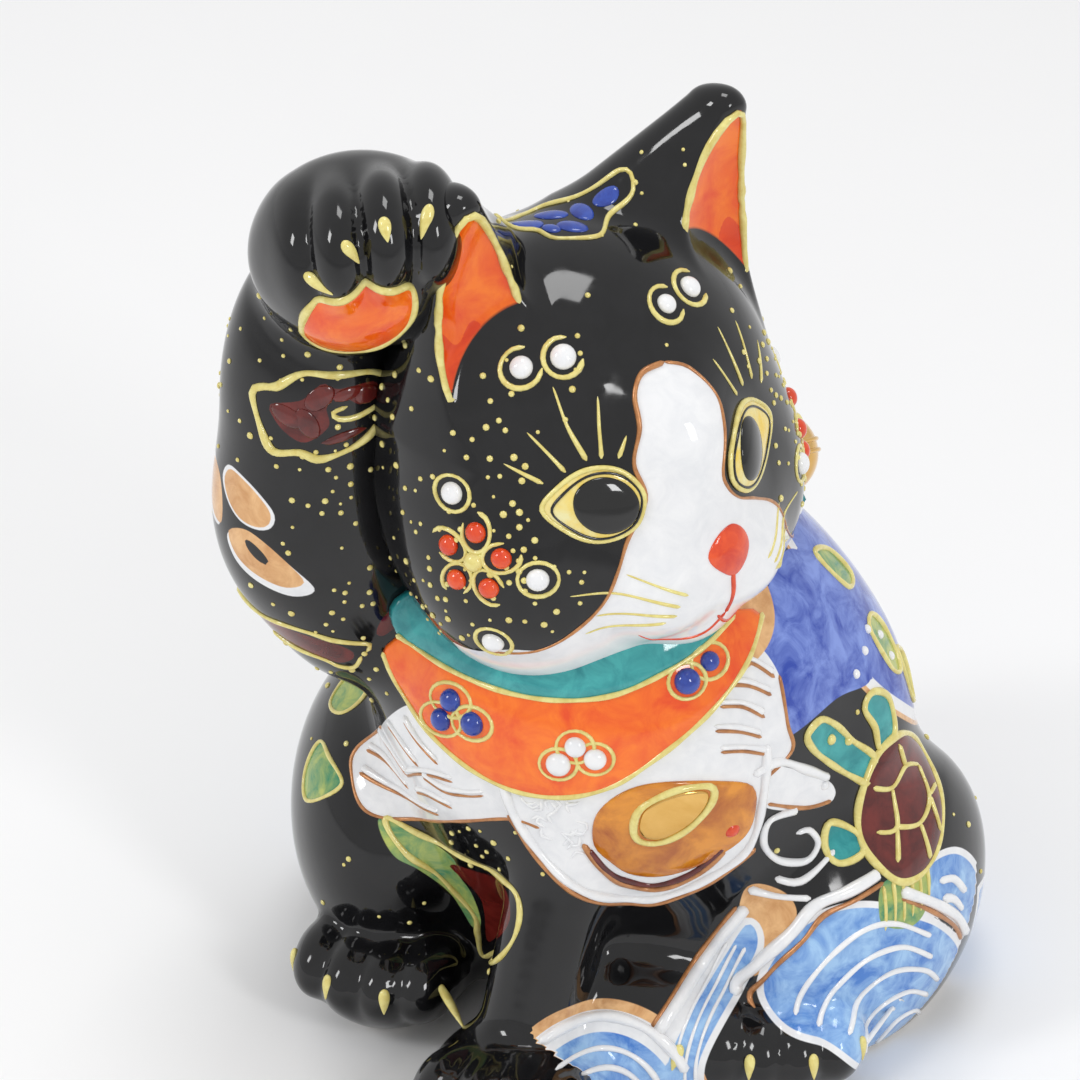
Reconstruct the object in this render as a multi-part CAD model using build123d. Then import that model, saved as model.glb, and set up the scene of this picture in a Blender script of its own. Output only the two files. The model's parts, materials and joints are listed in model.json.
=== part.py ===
"""Beckoning cat figurine: hollow porcelain castings luted together, with fused enamel relief.

The cat sits on the XY plane with its chest towards -Y and its own left side towards +X.
The head is turned to look over its left shoulder, and the right paw is raised.
Every size is in millimetres and every angle in degrees.
"""

from build123d import *
import copy
import math
import os

# ---------------------------------------------------------------- driving dimensions
# castings
WALL = 4.0  # slip-cast wall of the body, the head and the arm
TORSO_RADII = (46.0, 39.0, 46.0)
TORSO_SINK = 4.0  # how far the torso's egg dips below the foot's flat
SHOULDER_RADII = (33.0, 30.0, 33.0)
SHOULDER_LIFT = 24.0  # middle of the shoulders above the middle of the torso
CHEST_RADII = (34.0, 28.0, 34.0)
CHEST_DROP = 3.0  # the top of the chest below the top of the shoulders
RUMP_RADII = (42.0, 33.0, 26.0)
RUMP_SINK = 10.0
HAUNCH_RADII = (20.0, 31.0, 28.0)
HAUNCH_TUCK = 9.0  # how far the middle of a haunch lies inside the torso's side
LEFT_HAUNCH_SPLAY = -16.0
RIGHT_HAUNCH_SPLAY = 10.0

# head, measured from the middle of the skull: x to the cat's left, -y out of the face
SKULL_RADII = (34.0, 31.0, 36.0)
HEAD_TURN = 58.0
HEAD_LIFT = 9.0  # middle of the skull above the top of the shoulders
HEAD_SET = (-7.0, -16.0)  # middle of the skull from the torso's middle, in plan
CHEEK_RADII = (19.0, 18.0, 19.0)
MUZZLE_RADII = (14.0, 11.0, 11.0)
MUZZLE_BED = 4.0  # how far the muzzle's middle lies inside the front of the skull

# ears
EAR_HEIGHT = 35.0
EAR_ROOT_RADII = (15.5, 14.0)
EAR_TIP_RADIUS = 2.6
EAR_SPREAD = (20.5, 26.0)  # middle of the root and of the tip from the middle of the head
LEFT_EAR_IN = 3.0  # the left ear stands this much nearer the middle
EAR_BACKSET = (0.0, -5.0)  # the same two points, front to back
EAR_BURIED = 22.0  # root of the ear below the top of the skull
EAR_DISH_RADII = (13.0, 12.0, 24.0)
LINING_THICKNESS = 0.8  # orange enamel in the dish of each ear

# raised arm and legs
FOREARM_RADIUS = 15.0
FOREARM_LENGTH = 60.0
ARM_INSET = 2.0  # middle of the upright forearm inside the torso's side
PAW_RADII = (17.0, 15.0, 14.0)
PAW_TURN = 30.0  # the raised paw turns towards the face
TOE_RADII = (5.2, 8.5, 6.5)
RAISED_TOE_RADII = (6.2, 10.0, 8.0)
FORELEG_RADIUS = 7.0
STANDING_PAW_RADII = (15.0, 16.0, 9.5)
FOOT_RADII = (13.5, 17.0, 10.0)
LEFT_FOOT_TURN = 20.0  # the left foot points outwards
TAIL_RADIUS = 6.0

# underside and vents
BASE_OPENING_RADII = (24.0, 18.0)
DISC_THICKNESS = 4.0
DISC_RECESS = 1.5  # the disc sits this far inside the foot
DRAIN_RADIUS = 5.0
VENT_RADIUS = 3.0  # steam vents between the cavities

# neckwear and bell
SCARF_RADIUS = 3.6
NECK_TILT = 14.0  # higher at the nape than under the chin
NECK_DROP = 22.0  # middle of the collar line below the middle of the skull
BIB_THICKNESS = 1.6
BIB_RADII = (32.0, 44.0, 23.0)  # outline of the crescent seen from the front, and its reach
BELL_RADIUS = 7.2
BELL_WALL = 1.4
BELL_SLOT = 1.6
BELL_SEAT = 2.5  # how deep the bell is pressed into the scarf
BELL_ANGLE = 56.0  # round the collar from the cat's left towards its back
BELL_DROP = 4.0
BELL_TWIST = -30.0

# fused enamel
EYE_RADII = (6.6, 5.0, 2.2)
PUPIL_RADII = (4.2, 4.4, 1.4)
PUPIL_LIFT = 1.1
NOSE_RADII = (3.2, 3.4, 1.8)
WHITE_BEAD = 1.7
RED_BEAD = 1.6
YELLOW_BEAD = 1.5
BLUE_BEAD = 1.8
PETALS = 5
PETAL_RING = 4.6  # circle of red beads round the yellow middle of a cheek flower
CLAW_RADII = (1.1, 2.4, 0.9)
PALM_PAD_RADII = (7.6, 5.4, 2.0)
TURTLE_RADII = (9.0, 12.0, 2.2)
AMBER_RADII = (11.0, 7.0, 1.6)

# directions of the enamel, from the middle of the skull or of the chest
RIGHT_EYE_WAY = (-15.5, -26.0, 4.5)
LEFT_EYE_WAY = (12.5, -27.0, 5.5)
BROW_WAYS = [(-20.3, -13.8, 24.1), (-15.2, -16.3, 26.1), (10, -16, 29), (3.5, -18, 29)]
CHEEK_WAYS = [(31.6, -10.3, 5.7), (26.2, -23.1, -6.0), (31.0, -19.0, -17.0)]
FLOWER_WAY = (30.8, -14.2, -4.0)
BIB_BLUE_WAYS = [(-15, -23.5, 11), (-16.6, -24, 7), (-11, -25, 9), (20, -18, 16), (23, -15, 17)]
BIB_WHITE_WAYS = [(5, -27, 8), (3, -28, 5), (8, -26.5, 7)]
AMBER_WAY = (21, -21, -7)
TURTLE_WAY = (44, -10, -5)


# ---------------------------------------------------------------- shapes and surface queries
class Egg:
    """An ellipsoid that can be made solid or asked where its skin is."""

    def __init__(self, centre, radii, turn=0.0):
        self.centre = Vector(*centre)
        self.radii = radii
        self.turn = turn

    def solid(self, inset=0.0):
        radii = tuple(r - inset for r in self.radii)
        return Pos(self.centre) * Rot(0, 0, self.turn) * scale(Sphere(1), by=radii)

    def grown(self, amount):
        return Egg(self.centre, tuple(r + amount for r in self.radii), self.turn)

    def unit(self, v):
        """A direction seen from the egg's own axes, in radii."""
        return [p / r for p, r in zip(v.rotate(Axis.Z, -self.turn), self.radii)]

    def exit(self, origin, way):
        """How far along a ray from origin it leaves the egg, or None where it misses."""
        o = self.unit(origin - self.centre)
        d = self.unit(way)
        a = sum(p * p for p in d)
        b = 2 * sum(p * q for p, q in zip(o, d))
        c = sum(p * p for p in o) - 1
        inside = b * b - 4 * a * c
        return None if inside < 0 else (-b + math.sqrt(inside)) / (2 * a)

    def normal(self, point):
        n = Vector(*[p / r for p, r in zip(self.unit(point - self.centre), self.radii)])
        return n.rotate(Axis.Z, self.turn).normalized()


def skin(eggs, origin, way):
    """Point and outward normal where a ray from inside leaves a group of eggs."""
    origin = Vector(*origin)
    way = Vector(*way).normalized()
    exits = [(egg.exit(origin, way), egg) for egg in eggs]
    distance, egg = max(((d, e) for d, e in exits if d is not None), key=lambda pair: pair[0])
    point = origin + way * distance
    return point, egg.normal(point)


def solids_of(eggs, inset=0.0):
    """Several eggs as one shape."""
    shape, *rest = [egg.solid(inset) for egg in eggs]
    for other in rest:
        shape = shape + other
    return shape


def above(shape, height=0.0):
    return split(shape, bisect_by=Plane.XY.offset(height), keep=Keep.TOP)


def fitted(shape, *neighbours):
    """The main solid of a shape, cut back to the faces of the pieces it is luted to."""
    for other in neighbours:
        shape = shape - other
    return max(shape.solids(), key=lambda s: s.volume)


def drop(point, normal, radii, spin=0.0):
    """A flattened egg lying on a skin, its x radius level and then turned by spin."""
    across = Vector(0, 0, 1).cross(normal)
    plane = Plane(origin=point, x_dir=across, z_dir=normal)
    return plane.location * Rot(0, 0, spin) * scale(Sphere(1), by=radii)


# ---------------------------------------------------------------- where the eggs of the body lie
TORSO = Egg((0, 12, TORSO_RADII[2] - TORSO_SINK), TORSO_RADII)
SHOULDERS = Egg(TORSO.centre + Vector(-1, -8, SHOULDER_LIFT), SHOULDER_RADII)
SHOULDER_TOP = SHOULDERS.centre.Z + SHOULDER_RADII[2]
CHEST = Egg(
    (TORSO.centre.X - 2, TORSO.centre.Y - 20, SHOULDER_TOP - CHEST_RADII[2] - CHEST_DROP),
    CHEST_RADII,
)
RUMP = Egg((TORSO.centre.X + 2, TORSO.centre.Y, RUMP_RADII[2] - RUMP_SINK), RUMP_RADII)
HAUNCH_OUT = TORSO_RADII[0] - HAUNCH_TUCK
LEFT_HAUNCH = Egg(
    (TORSO.centre.X + HAUNCH_OUT, TORSO.centre.Y - 4, HAUNCH_RADII[2] - 9),
    HAUNCH_RADII,
    LEFT_HAUNCH_SPLAY,
)
RIGHT_HAUNCH = Egg(
    (TORSO.centre.X - HAUNCH_OUT, TORSO.centre.Y - 9, HAUNCH_RADII[2] - 1),
    HAUNCH_RADII,
    RIGHT_HAUNCH_SPLAY,
)
BODY_EGGS = [TORSO, SHOULDERS, CHEST, RUMP, LEFT_HAUNCH, RIGHT_HAUNCH]
UNDERSIDE = Vector(RUMP.centre.X, RUMP.centre.Y, 0)

# ---------------------------------------------------------------- where the eggs of the head lie
HEAD_CENTRE = Vector(
    TORSO.centre.X + HEAD_SET[0], TORSO.centre.Y + HEAD_SET[1], SHOULDER_TOP + HEAD_LIFT
)
HEAD_PLACE = Location(HEAD_CENTRE, (0, 0, HEAD_TURN))


def head_way(x, y, z):
    """A direction given in the head's own axes."""
    return Vector(x, y, z).rotate(Axis.Z, HEAD_TURN)


def head_egg(x, y, z, radii):
    return Egg(HEAD_CENTRE + head_way(x, y, z), radii, HEAD_TURN)


SKULL = head_egg(0, 0, 0, SKULL_RADII)
CHEEK_OUT = SKULL_RADII[0] - CHEEK_RADII[0] - 1
CHEEKS = [
    head_egg(side * CHEEK_OUT, -SKULL_RADII[1] / 3, -SKULL_RADII[2] / 3, CHEEK_RADII)
    for side in (-1, 1)
]
MUZZLE = head_egg(0, MUZZLE_BED - SKULL_RADII[1], -SKULL_RADII[2] / 4 - 1, MUZZLE_RADII)
HEAD_EGGS = [SKULL, *CHEEKS, MUZZLE]

# ---------------------------------------------------------------- where the eggs of the limbs lie
ARM_ROOT = Vector(
    TORSO.centre.X - TORSO_RADII[0] + ARM_INSET,
    TORSO.centre.Y - TORSO_RADII[1] + 11,
    HEAD_CENTRE.Z + 6 - FOREARM_LENGTH / 2,
)
SHOULDER = Egg(ARM_ROOT + Vector(6, 6, -6), (FOREARM_RADIUS + 1, 18, 18))
ELBOW = Egg(ARM_ROOT + Vector(-1, 0, 8), (FOREARM_RADIUS, 17, 17))
FOREARM = Egg(
    ARM_ROOT + Vector(1, -4, FOREARM_LENGTH / 2),
    (FOREARM_RADIUS, FOREARM_RADIUS, FOREARM_LENGTH / 2),
)
PAW = Egg(ARM_ROOT + Vector(11, -9, FOREARM_LENGTH + 2), PAW_RADII, PAW_TURN)

STANDING_PAW = Egg(
    (CHEST.centre.X + 0.5, CHEST.centre.Y - CHEST_RADII[1] - 8, STANDING_PAW_RADII[2] - 1),
    STANDING_PAW_RADII,
)
FORELEG_TOP = CHEST.centre + Vector(3, 8 - CHEST_RADII[1], -22)
FORELEG_END = STANDING_PAW.centre + Vector(-3, 3, 4)
LEFT_FOOT = Egg(
    (LEFT_HAUNCH.centre.X - 6, LEFT_HAUNCH.centre.Y - HAUNCH_RADII[1] + 11, FOOT_RADII[2] - 1),
    FOOT_RADII,
    LEFT_FOOT_TURN,
)
RIGHT_FOOT = Egg(
    (RIGHT_HAUNCH.centre.X + 5, RIGHT_HAUNCH.centre.Y - HAUNCH_RADII[1] + 14, FOOT_RADII[2] - 1),
    FOOT_RADII,
)


def toes(paw, reach=0.62, rise=0.25, count=4):
    """Toe eggs in a fan over the front of a paw; reach and rise are shares of its radii."""
    spread = 1.32 * paw.radii[0]
    eggs = []
    for i in range(count):
        across = spread * (i / (count - 1) - 0.5)
        curve = 0.28 * (across / paw.radii[0]) ** 2
        way = Vector(across, -paw.radii[1] * (reach - curve), paw.radii[2] * rise)
        eggs.append(Egg(paw.centre + way.rotate(Axis.Z, paw.turn), TOE_RADII, paw.turn))
    return eggs


RAISED_TOES = [
    Egg(PAW.centre + Vector(x, y, z), RAISED_TOE_RADII, PAW_TURN)
    for x, y, z in ((-5, -6, 3.5), (1.5, -5, 7.5), (7.5, -1.5, 9), (12.5, 4, 8))
]
STANDING_TOES = toes(STANDING_PAW)
LEFT_TOES = toes(LEFT_FOOT)
RIGHT_TOES = toes(RIGHT_FOOT)

# ---------------------------------------------------------------- where the collar line lies
NECK_CENTRE = HEAD_CENTRE + Vector(2, 5, -NECK_DROP)
NECK_RADII = (SKULL_RADII[0] - 1, SKULL_RADII[1] + 3)
NECK_PLACE = Location(NECK_CENTRE, (NECK_TILT, 0, 0))


def neck_point(angle, outward=0.0):
    """A point on the collar line, its angle counted from the cat's left towards its back."""
    a = math.radians(angle)
    x = (NECK_RADII[0] + outward) * math.cos(a)
    y = (NECK_RADII[1] + outward) * math.sin(a)
    return NECK_CENTRE + Vector(x, y, 0).rotate(Axis.X, NECK_TILT)


# ---------------------------------------------------------------- castings
def vent(start, end):
    """Steam vent from one cavity into another."""
    way = end - start
    plane = Plane(origin=start, z_dir=way)
    return extrude(plane * Circle(VENT_RADIUS), way.length)


ARM_VENT = vent(ELBOW.centre, CHEST.centre)
NECK_VENT = vent(TORSO.centre, HEAD_CENTRE)


def make_body():
    """Outer shape of the seated body, and the hollow casting that is open underneath."""
    outer = above(solids_of(BODY_EGGS))
    floor = DISC_RECESS + DISC_THICKNESS
    hollow = above(solids_of(BODY_EGGS, WALL), floor)
    opening = Pos(UNDERSIDE) * extrude(Ellipse(*BASE_OPENING_RADII), floor + WALL)
    return outer, fitted(outer, hollow, opening, NECK_VENT, ARM_VENT)


def make_base_disc():
    """Disc that closes the underside, with its drain hole."""
    disc = extrude(Ellipse(*BASE_OPENING_RADII) - Circle(DRAIN_RADIUS), DISC_THICKNESS)
    return Pos(UNDERSIDE + Vector(0, 0, DISC_RECESS)) * disc


def make_head(body_outer):
    """Outer shape of the head, and the hollow casting that is open over the shoulders."""
    outer = solids_of(HEAD_EGGS)
    return outer, fitted(outer, SKULL.solid(WALL), body_outer)


def ear_x(side, x):
    """Sideways place of a point of an ear; the left ear stands nearer the middle."""
    return side * x - (LEFT_EAR_IN if side > 0 else 0)


def ear_dish(side, forward=0.0):
    """Egg that hollows the front of an ear."""
    height = SKULL_RADII[2] - EAR_BURIED + 0.55 * EAR_HEIGHT
    front = EAR_BACKSET[1] - EAR_DISH_RADII[1] - 1 - forward
    place = Pos(ear_x(side, sum(EAR_SPREAD) / 2 + 2.5), front, height)
    return HEAD_PLACE * place * Rot(0, 0, side * 12) * scale(Sphere(1), by=EAR_DISH_RADII)


def ear_horn(side):
    """Tapered horn of one ear, from its root inside the skull to its tip."""
    root = SKULL_RADII[2] - EAR_BURIED
    length = EAR_HEIGHT + 6
    sections = []
    for share in (0.0, 0.38, 0.72, 1.0):
        x = EAR_SPREAD[0] + (EAR_SPREAD[1] - EAR_SPREAD[0]) * share
        y = EAR_BACKSET[0] + (EAR_BACKSET[1] - EAR_BACKSET[0]) * share
        taper = (1 - share) ** 0.9
        rx = EAR_TIP_RADIUS + (EAR_ROOT_RADII[0] - EAR_TIP_RADIUS) * taper
        ry = EAR_TIP_RADIUS + (EAR_ROOT_RADII[1] - EAR_TIP_RADIUS) * taper
        spot = Pos(ear_x(side, x), y, root + length * share)
        sections.append(HEAD_PLACE * spot * Ellipse(rx, ry))
    return loft(sections)


def make_ear(side, *neighbours):
    """One ear with a dished front, and the orange enamel that lines the dish."""
    horn = ear_horn(side)
    ear = fitted(horn, ear_dish(side), *neighbours)
    lining = (horn & ear_dish(side)) - ear_dish(side, LINING_THICKNESS)
    return ear, fitted(lining, *neighbours)


def make_arm(body_outer, head_outer):
    """Outer shape of the raised arm, and the casting that is hollow to the wrist."""
    outer = solids_of([SHOULDER, ELBOW, FOREARM, PAW, *RAISED_TOES])
    hollow = solids_of([ELBOW, FOREARM], WALL)
    return outer, fitted(outer, hollow, body_outer, head_outer, ARM_VENT)


def rod(start, end, radius):
    """A round-ended rod."""
    way = end - start
    bar = extrude(Plane(origin=start, z_dir=way) * Circle(radius), way.length)
    return bar + Pos(start) * Sphere(radius) + Pos(end) * Sphere(radius)


def make_foot(eggs, *neighbours):
    return fitted(above(solids_of(eggs)), *neighbours)


def make_foreleg(*neighbours):
    paw = solids_of([STANDING_PAW, *STANDING_TOES])
    return fitted(above(paw + rod(FORELEG_TOP, FORELEG_END, FORELEG_RADIUS)), *neighbours)


def make_tail(body_outer):
    """Short tail that leaves the rump and curls round its foot to the cat's right."""
    back = UNDERSIDE + Vector(0, RUMP_RADII[1], TAIL_RADIUS + 1)
    path = Spline(
        [
            back + Vector(14, -8, 12),
            back + Vector(2, 1, 3),
            back + Vector(-14, 0, 0),
            back + Vector(-29, -9, 1),
            back + Vector(-40, -22, 4),
        ]
    )
    section = Plane(origin=path @ 0, z_dir=path % 0) * Circle(TAIL_RADIUS)
    tail = sweep(section, path) + Pos(path @ 1) * Sphere(TAIL_RADIUS)
    return fitted(above(tail), body_outer)


# ---------------------------------------------------------------- neckwear and bell
def make_scarf(*neighbours):
    """Rolled scarf round the neck."""
    ring = scale(Torus(1, SCARF_RADIUS / NECK_RADII[0]), by=(NECK_RADII[0], NECK_RADII[1], NECK_RADII[0]))
    return fitted(NECK_PLACE * ring, *neighbours)


def make_bib(*neighbours):
    """Crescent bib that hangs from the scarf over the chest."""
    cloth = solids_of([SHOULDERS.grown(BIB_THICKNESS), CHEST.grown(BIB_THICKNESS)])
    outline = Pos(NECK_CENTRE + Vector(3, -BIB_RADII[1] / 2, -2)) * scale(Sphere(1), by=BIB_RADII)
    collar_plane = Plane(NECK_PLACE)
    crescent = split(cloth & outline, bisect_by=collar_plane, keep=Keep.BOTTOM)
    return fitted(crescent, *neighbours)


def make_bell(*neighbours):
    """Hollow gilt ball with a slot, luted to the scarf at the nape."""
    hang = neck_point(BELL_ANGLE, SCARF_RADIUS)
    outward = (hang - NECK_CENTRE).normalized()
    turn = math.degrees(math.atan2(outward.Y, outward.X)) + BELL_TWIST
    ball = Sphere(BELL_RADIUS) - Sphere(BELL_RADIUS - BELL_WALL)
    slot = Pos(BELL_RADIUS / 2, 0, -BELL_RADIUS / 2) * Box(2 * BELL_RADIUS, BELL_SLOT, BELL_RADIUS)
    centre = hang + outward * (BELL_RADIUS - BELL_SEAT) - Vector(0, 0, BELL_DROP)
    place = Pos(centre) * Rot(0, 0, turn)
    return fitted(place * (ball - slot), *neighbours)


# ---------------------------------------------------------------- fused enamel
def beads(ways, radius, eggs, origin, *neighbours):
    """Round enamel beads that stand half out of a glazed skin."""
    made = []
    for way in ways:
        point, normal = skin(eggs, origin, way)
        made.append(fitted(drop(point, normal, (radius, radius, 0.8 * radius)), *neighbours))
    return made


def both_sides(ways):
    """Head directions for one side of the face and their mirror images."""
    return [head_way(side * x, y, z) for side in (-1, 1) for x, y, z in ways]


def flower_ways():
    """Head directions of the petals round the middle of a cheek flower."""
    x, y, z = FLOWER_WAY
    across = math.hypot(x, y)
    ways = []
    for i in range(PETALS):
        a = math.radians(90 + 360 * i / PETALS)
        turn = math.atan2(y, x) + PETAL_RING * math.cos(a) / across
        ways.append((across * math.cos(turn), across * math.sin(turn), z + PETAL_RING * math.sin(a)))
    return ways


def make_eye(way, head_outer):
    """Raised enamel eye, and the black pupil on it."""
    point, normal = skin([SKULL], HEAD_CENTRE, head_way(*way))
    eye = drop(point, normal, EYE_RADII)
    pupil = drop(point + normal * PUPIL_LIFT, normal, PUPIL_RADII)
    return fitted(eye, head_outer), fitted(pupil, eye, head_outer)


def make_nose(head_outer):
    point, normal = skin([MUZZLE], MUZZLE.centre, head_way(0, -10, 5))
    return fitted(drop(point, normal, NOSE_RADII), head_outer)


def claw_set(paw, toe_eggs, fall, *neighbours):
    """A drop of yellow enamel on the front of each toe."""
    made = []
    for toe in toe_eggs:
        offset = (toe.centre - paw.centre).rotate(Axis.Z, -paw.turn)
        way = Vector(offset.X / (2 * paw.radii[0]), -1, fall).rotate(Axis.Z, paw.turn)
        point, normal = skin([toe], toe.centre, way)
        made.append(fitted(drop(point, normal, CLAW_RADII), *neighbours))
    return made


def make_relief(origin, way, radii, spin, base):
    """A low raised panel of enamel on the body."""
    point, normal = skin(BODY_EGGS, origin, way)
    return fitted(drop(point, normal, radii, spin), base)


def main():
    body_outer, body = make_body()
    head_outer, head = make_head(body_outer)
    arm_outer, arm = make_arm(body_outer, head_outer)
    left_ear, left_lining = make_ear(1, head_outer)
    raised_claws = claw_set(PAW, RAISED_TOES, -0.15, arm_outer)
    right_ear, right_lining = make_ear(-1, head_outer, arm_outer, *raised_claws)
    foreleg = make_foreleg(body_outer)
    left_foot = make_foot([LEFT_FOOT, *LEFT_TOES], body_outer, foreleg)
    right_foot = make_foot([RIGHT_FOOT, *RIGHT_TOES], body_outer, foreleg)

    scarf = make_scarf(body_outer, head_outer, arm_outer)
    bib = make_bib(body_outer, head_outer, arm_outer, scarf, foreleg)
    bell = make_bell(scarf, body_outer, head_outer)

    left_eye, left_pupil = make_eye(LEFT_EYE_WAY, head_outer)
    right_eye, right_pupil = make_eye(RIGHT_EYE_WAY, head_outer)

    on_head = (HEAD_EGGS, HEAD_CENTRE, head_outer, scarf)
    bib_skin = [SHOULDERS.grown(BIB_THICKNESS), CHEST.grown(BIB_THICKNESS)]
    on_bib = (bib_skin, CHEST.centre, bib, body_outer, scarf)
    brow_ways = [head_way(*way) for way in BROW_WAYS]
    face_whites = beads(brow_ways + both_sides(CHEEK_WAYS), WHITE_BEAD, *on_head)
    bib_whites = beads(BIB_WHITE_WAYS, WHITE_BEAD, *on_bib)

    palm_point, palm_normal = skin([PAW], PAW.centre, (0.5, -1, -0.25))
    claws = (
        raised_claws
        + claw_set(STANDING_PAW, STANDING_TOES, -0.35, foreleg)
        + claw_set(LEFT_FOOT, LEFT_TOES, -0.35, left_foot)
        + claw_set(RIGHT_FOOT, RIGHT_TOES, -0.35, right_foot)
    )

    nodes = {
        "body_casting": [body],
        "base_disc": [make_base_disc()],
        "head_casting": [head],
        "left_ear": [left_ear],
        "right_ear": [right_ear],
        "left_ear_lining": [left_lining],
        "right_ear_lining": [right_lining],
        "raised_arm": [arm],
        "palm_pad": [fitted(drop(palm_point, palm_normal, PALM_PAD_RADII, 20), arm_outer)],
        "standing_foreleg": [foreleg],
        "left_hind_foot": [left_foot],
        "right_hind_foot": [right_foot],
        "tail": [make_tail(body_outer)],
        "neck_scarf": [scarf],
        "bib": [bib],
        "bell": [bell],
        "left_eye": [left_eye],
        "right_eye": [right_eye],
        "left_pupil": [left_pupil],
        "right_pupil": [right_pupil],
        "nose": [make_nose(head_outer)],
        "white_beads": face_whites + bib_whites,
        "red_beads": beads(both_sides(flower_ways()), RED_BEAD, *on_head),
        "yellow_beads": beads(both_sides([FLOWER_WAY]), YELLOW_BEAD, *on_head),
        "blue_beads": beads(BIB_BLUE_WAYS, BLUE_BEAD, *on_bib),
        "claws": claws,
        "turtle_shell": [make_relief(TORSO.centre, TURTLE_WAY, TURTLE_RADII, 0, body_outer)],
        "amber_jewel": [make_relief(CHEST.centre, AMBER_WAY, AMBER_RADII, 25, body_outer)],
    }
    box = Compound(children=[copy.copy(s) for solids in nodes.values() for s in solids]).bounding_box()
    centred = Pos(-(box.min.X + box.max.X) / 2, -(box.min.Y + box.max.Y) / 2, -box.min.Z)
    os.makedirs("parts", exist_ok=True)
    for name, solids in nodes.items():
        placed = [centred * solid for solid in solids]
        shape = placed[0] if len(placed) == 1 else Compound(children=placed)
        export_step(shape, f"parts/{name}.step")


main()
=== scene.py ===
# %% [markdown]
# # A seated porcelain beckoning cat
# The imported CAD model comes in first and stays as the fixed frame. Its castings are plain, functional
# solids, so each of them is replaced here by a glazed skin or by a small piece of fused enamel.

# %% Load the frame
import json
import math
import bmesh
import bpy
import numpy as np
from mathutils import Matrix, Vector
from mathutils.bvhtree import BVHTree

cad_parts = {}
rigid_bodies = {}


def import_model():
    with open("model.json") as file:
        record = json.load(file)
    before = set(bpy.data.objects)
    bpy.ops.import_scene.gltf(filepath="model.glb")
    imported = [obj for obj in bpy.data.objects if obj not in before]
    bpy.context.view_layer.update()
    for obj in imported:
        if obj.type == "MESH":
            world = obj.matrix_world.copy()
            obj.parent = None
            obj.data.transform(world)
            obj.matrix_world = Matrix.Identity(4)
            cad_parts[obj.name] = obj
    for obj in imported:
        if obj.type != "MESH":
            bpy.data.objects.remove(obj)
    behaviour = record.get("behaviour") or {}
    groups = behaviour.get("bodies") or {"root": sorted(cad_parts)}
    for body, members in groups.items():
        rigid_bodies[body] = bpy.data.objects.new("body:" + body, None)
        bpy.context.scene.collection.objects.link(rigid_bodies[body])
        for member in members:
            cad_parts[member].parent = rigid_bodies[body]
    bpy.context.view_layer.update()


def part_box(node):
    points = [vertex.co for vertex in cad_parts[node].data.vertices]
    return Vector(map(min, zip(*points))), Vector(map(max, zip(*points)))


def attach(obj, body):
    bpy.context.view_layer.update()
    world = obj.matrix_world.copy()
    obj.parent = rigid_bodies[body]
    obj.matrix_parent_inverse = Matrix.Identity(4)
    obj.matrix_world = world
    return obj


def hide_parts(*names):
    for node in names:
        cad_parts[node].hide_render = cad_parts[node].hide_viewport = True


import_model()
MM = 0.001
disc_low, disc_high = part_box("base_disc")

# %% [markdown]
# ## The maker's own axes
# The potter measures the cat in millimetres from the floor, with the middle of the base disc at
# (2, 12). The head has axes of its own: x to the cat's left, -y out of the face, z up. Everything that
# follows is placed with these helpers, so it moves with the frame if the frame moves.

# %% Body and head axes
DISC_AT = (2.0, 12.0)
SHIFT = np.array([
    (disc_low[0] + disc_high[0]) / 2 / MM - DISC_AT[0],
    (disc_low[1] + disc_high[1]) / 2 / MM - DISC_AT[1],
    0.0,
])
HEAD_AT = np.array([-7.0, -4.0, 108.0])
HEAD_TURN = math.radians(58.0)
HEAD_AXES = np.array([
    [math.cos(HEAD_TURN), math.sin(HEAD_TURN), 0.0],
    [-math.sin(HEAD_TURN), math.cos(HEAD_TURN), 0.0],
    [0.0, 0.0, 1.0],
])


def to_head(points):
    """Body millimetres to head millimetres."""
    return (np.asarray(points, float) - HEAD_AT) @ HEAD_AXES.T


def from_head(points):
    """Head millimetres to body millimetres."""
    return np.asarray(points, float) @ HEAD_AXES + HEAD_AT


def head_way(way):
    """A direction in head axes, turned into body axes."""
    return np.asarray(way, float) @ HEAD_AXES


print("shift of the maker's axes, mm", SHIFT.round(2))

# %% [markdown]
# ## Clay: eggs that melt into each other
# A potter builds a cat from lumps and wipes the joints smooth. The same idea works here: every lump is
# an egg with a *field*, which is roughly the distance from its skin, and two fields are blended over a
# chosen width. Where the blend is wide the lumps flow together, as at the shoulder. Where it is narrow
# a crease stays, as between two toes.

# %% Fields of the lumps
def egg(points, centre, radii, turn=0.0, lean=0.0):
    """Roughly how far points are outside an egg, in mm. lean tips its top towards +y, in degrees."""
    d = points - np.asarray(centre, float)
    a, b = math.radians(turn), math.radians(lean)
    x = math.cos(a) * d[:, 0] + math.sin(a) * d[:, 1]
    y = -math.sin(a) * d[:, 0] + math.cos(a) * d[:, 1]
    z = d[:, 2]
    y, z = math.cos(b) * y - math.sin(b) * z, math.sin(b) * y + math.cos(b) * z
    q = np.stack([x, y, z], axis=1) / np.asarray(radii, float)
    size = np.linalg.norm(q, axis=1)
    slope = np.linalg.norm(q / np.asarray(radii, float), axis=1)
    return size * (size - 1) / np.maximum(slope, 1e-9)


def horn(points, root, tip, root_radius, tip_radius):
    """A tapered rod with round ends."""
    root, tip = np.asarray(root, float), np.asarray(tip, float)
    way = tip - root
    t = np.clip((points - root) @ way / (way @ way), 0, 1)
    near = root + t[:, None] * way
    return np.linalg.norm(points - near, axis=1) - (root_radius + (tip_radius - root_radius) * t)


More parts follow.
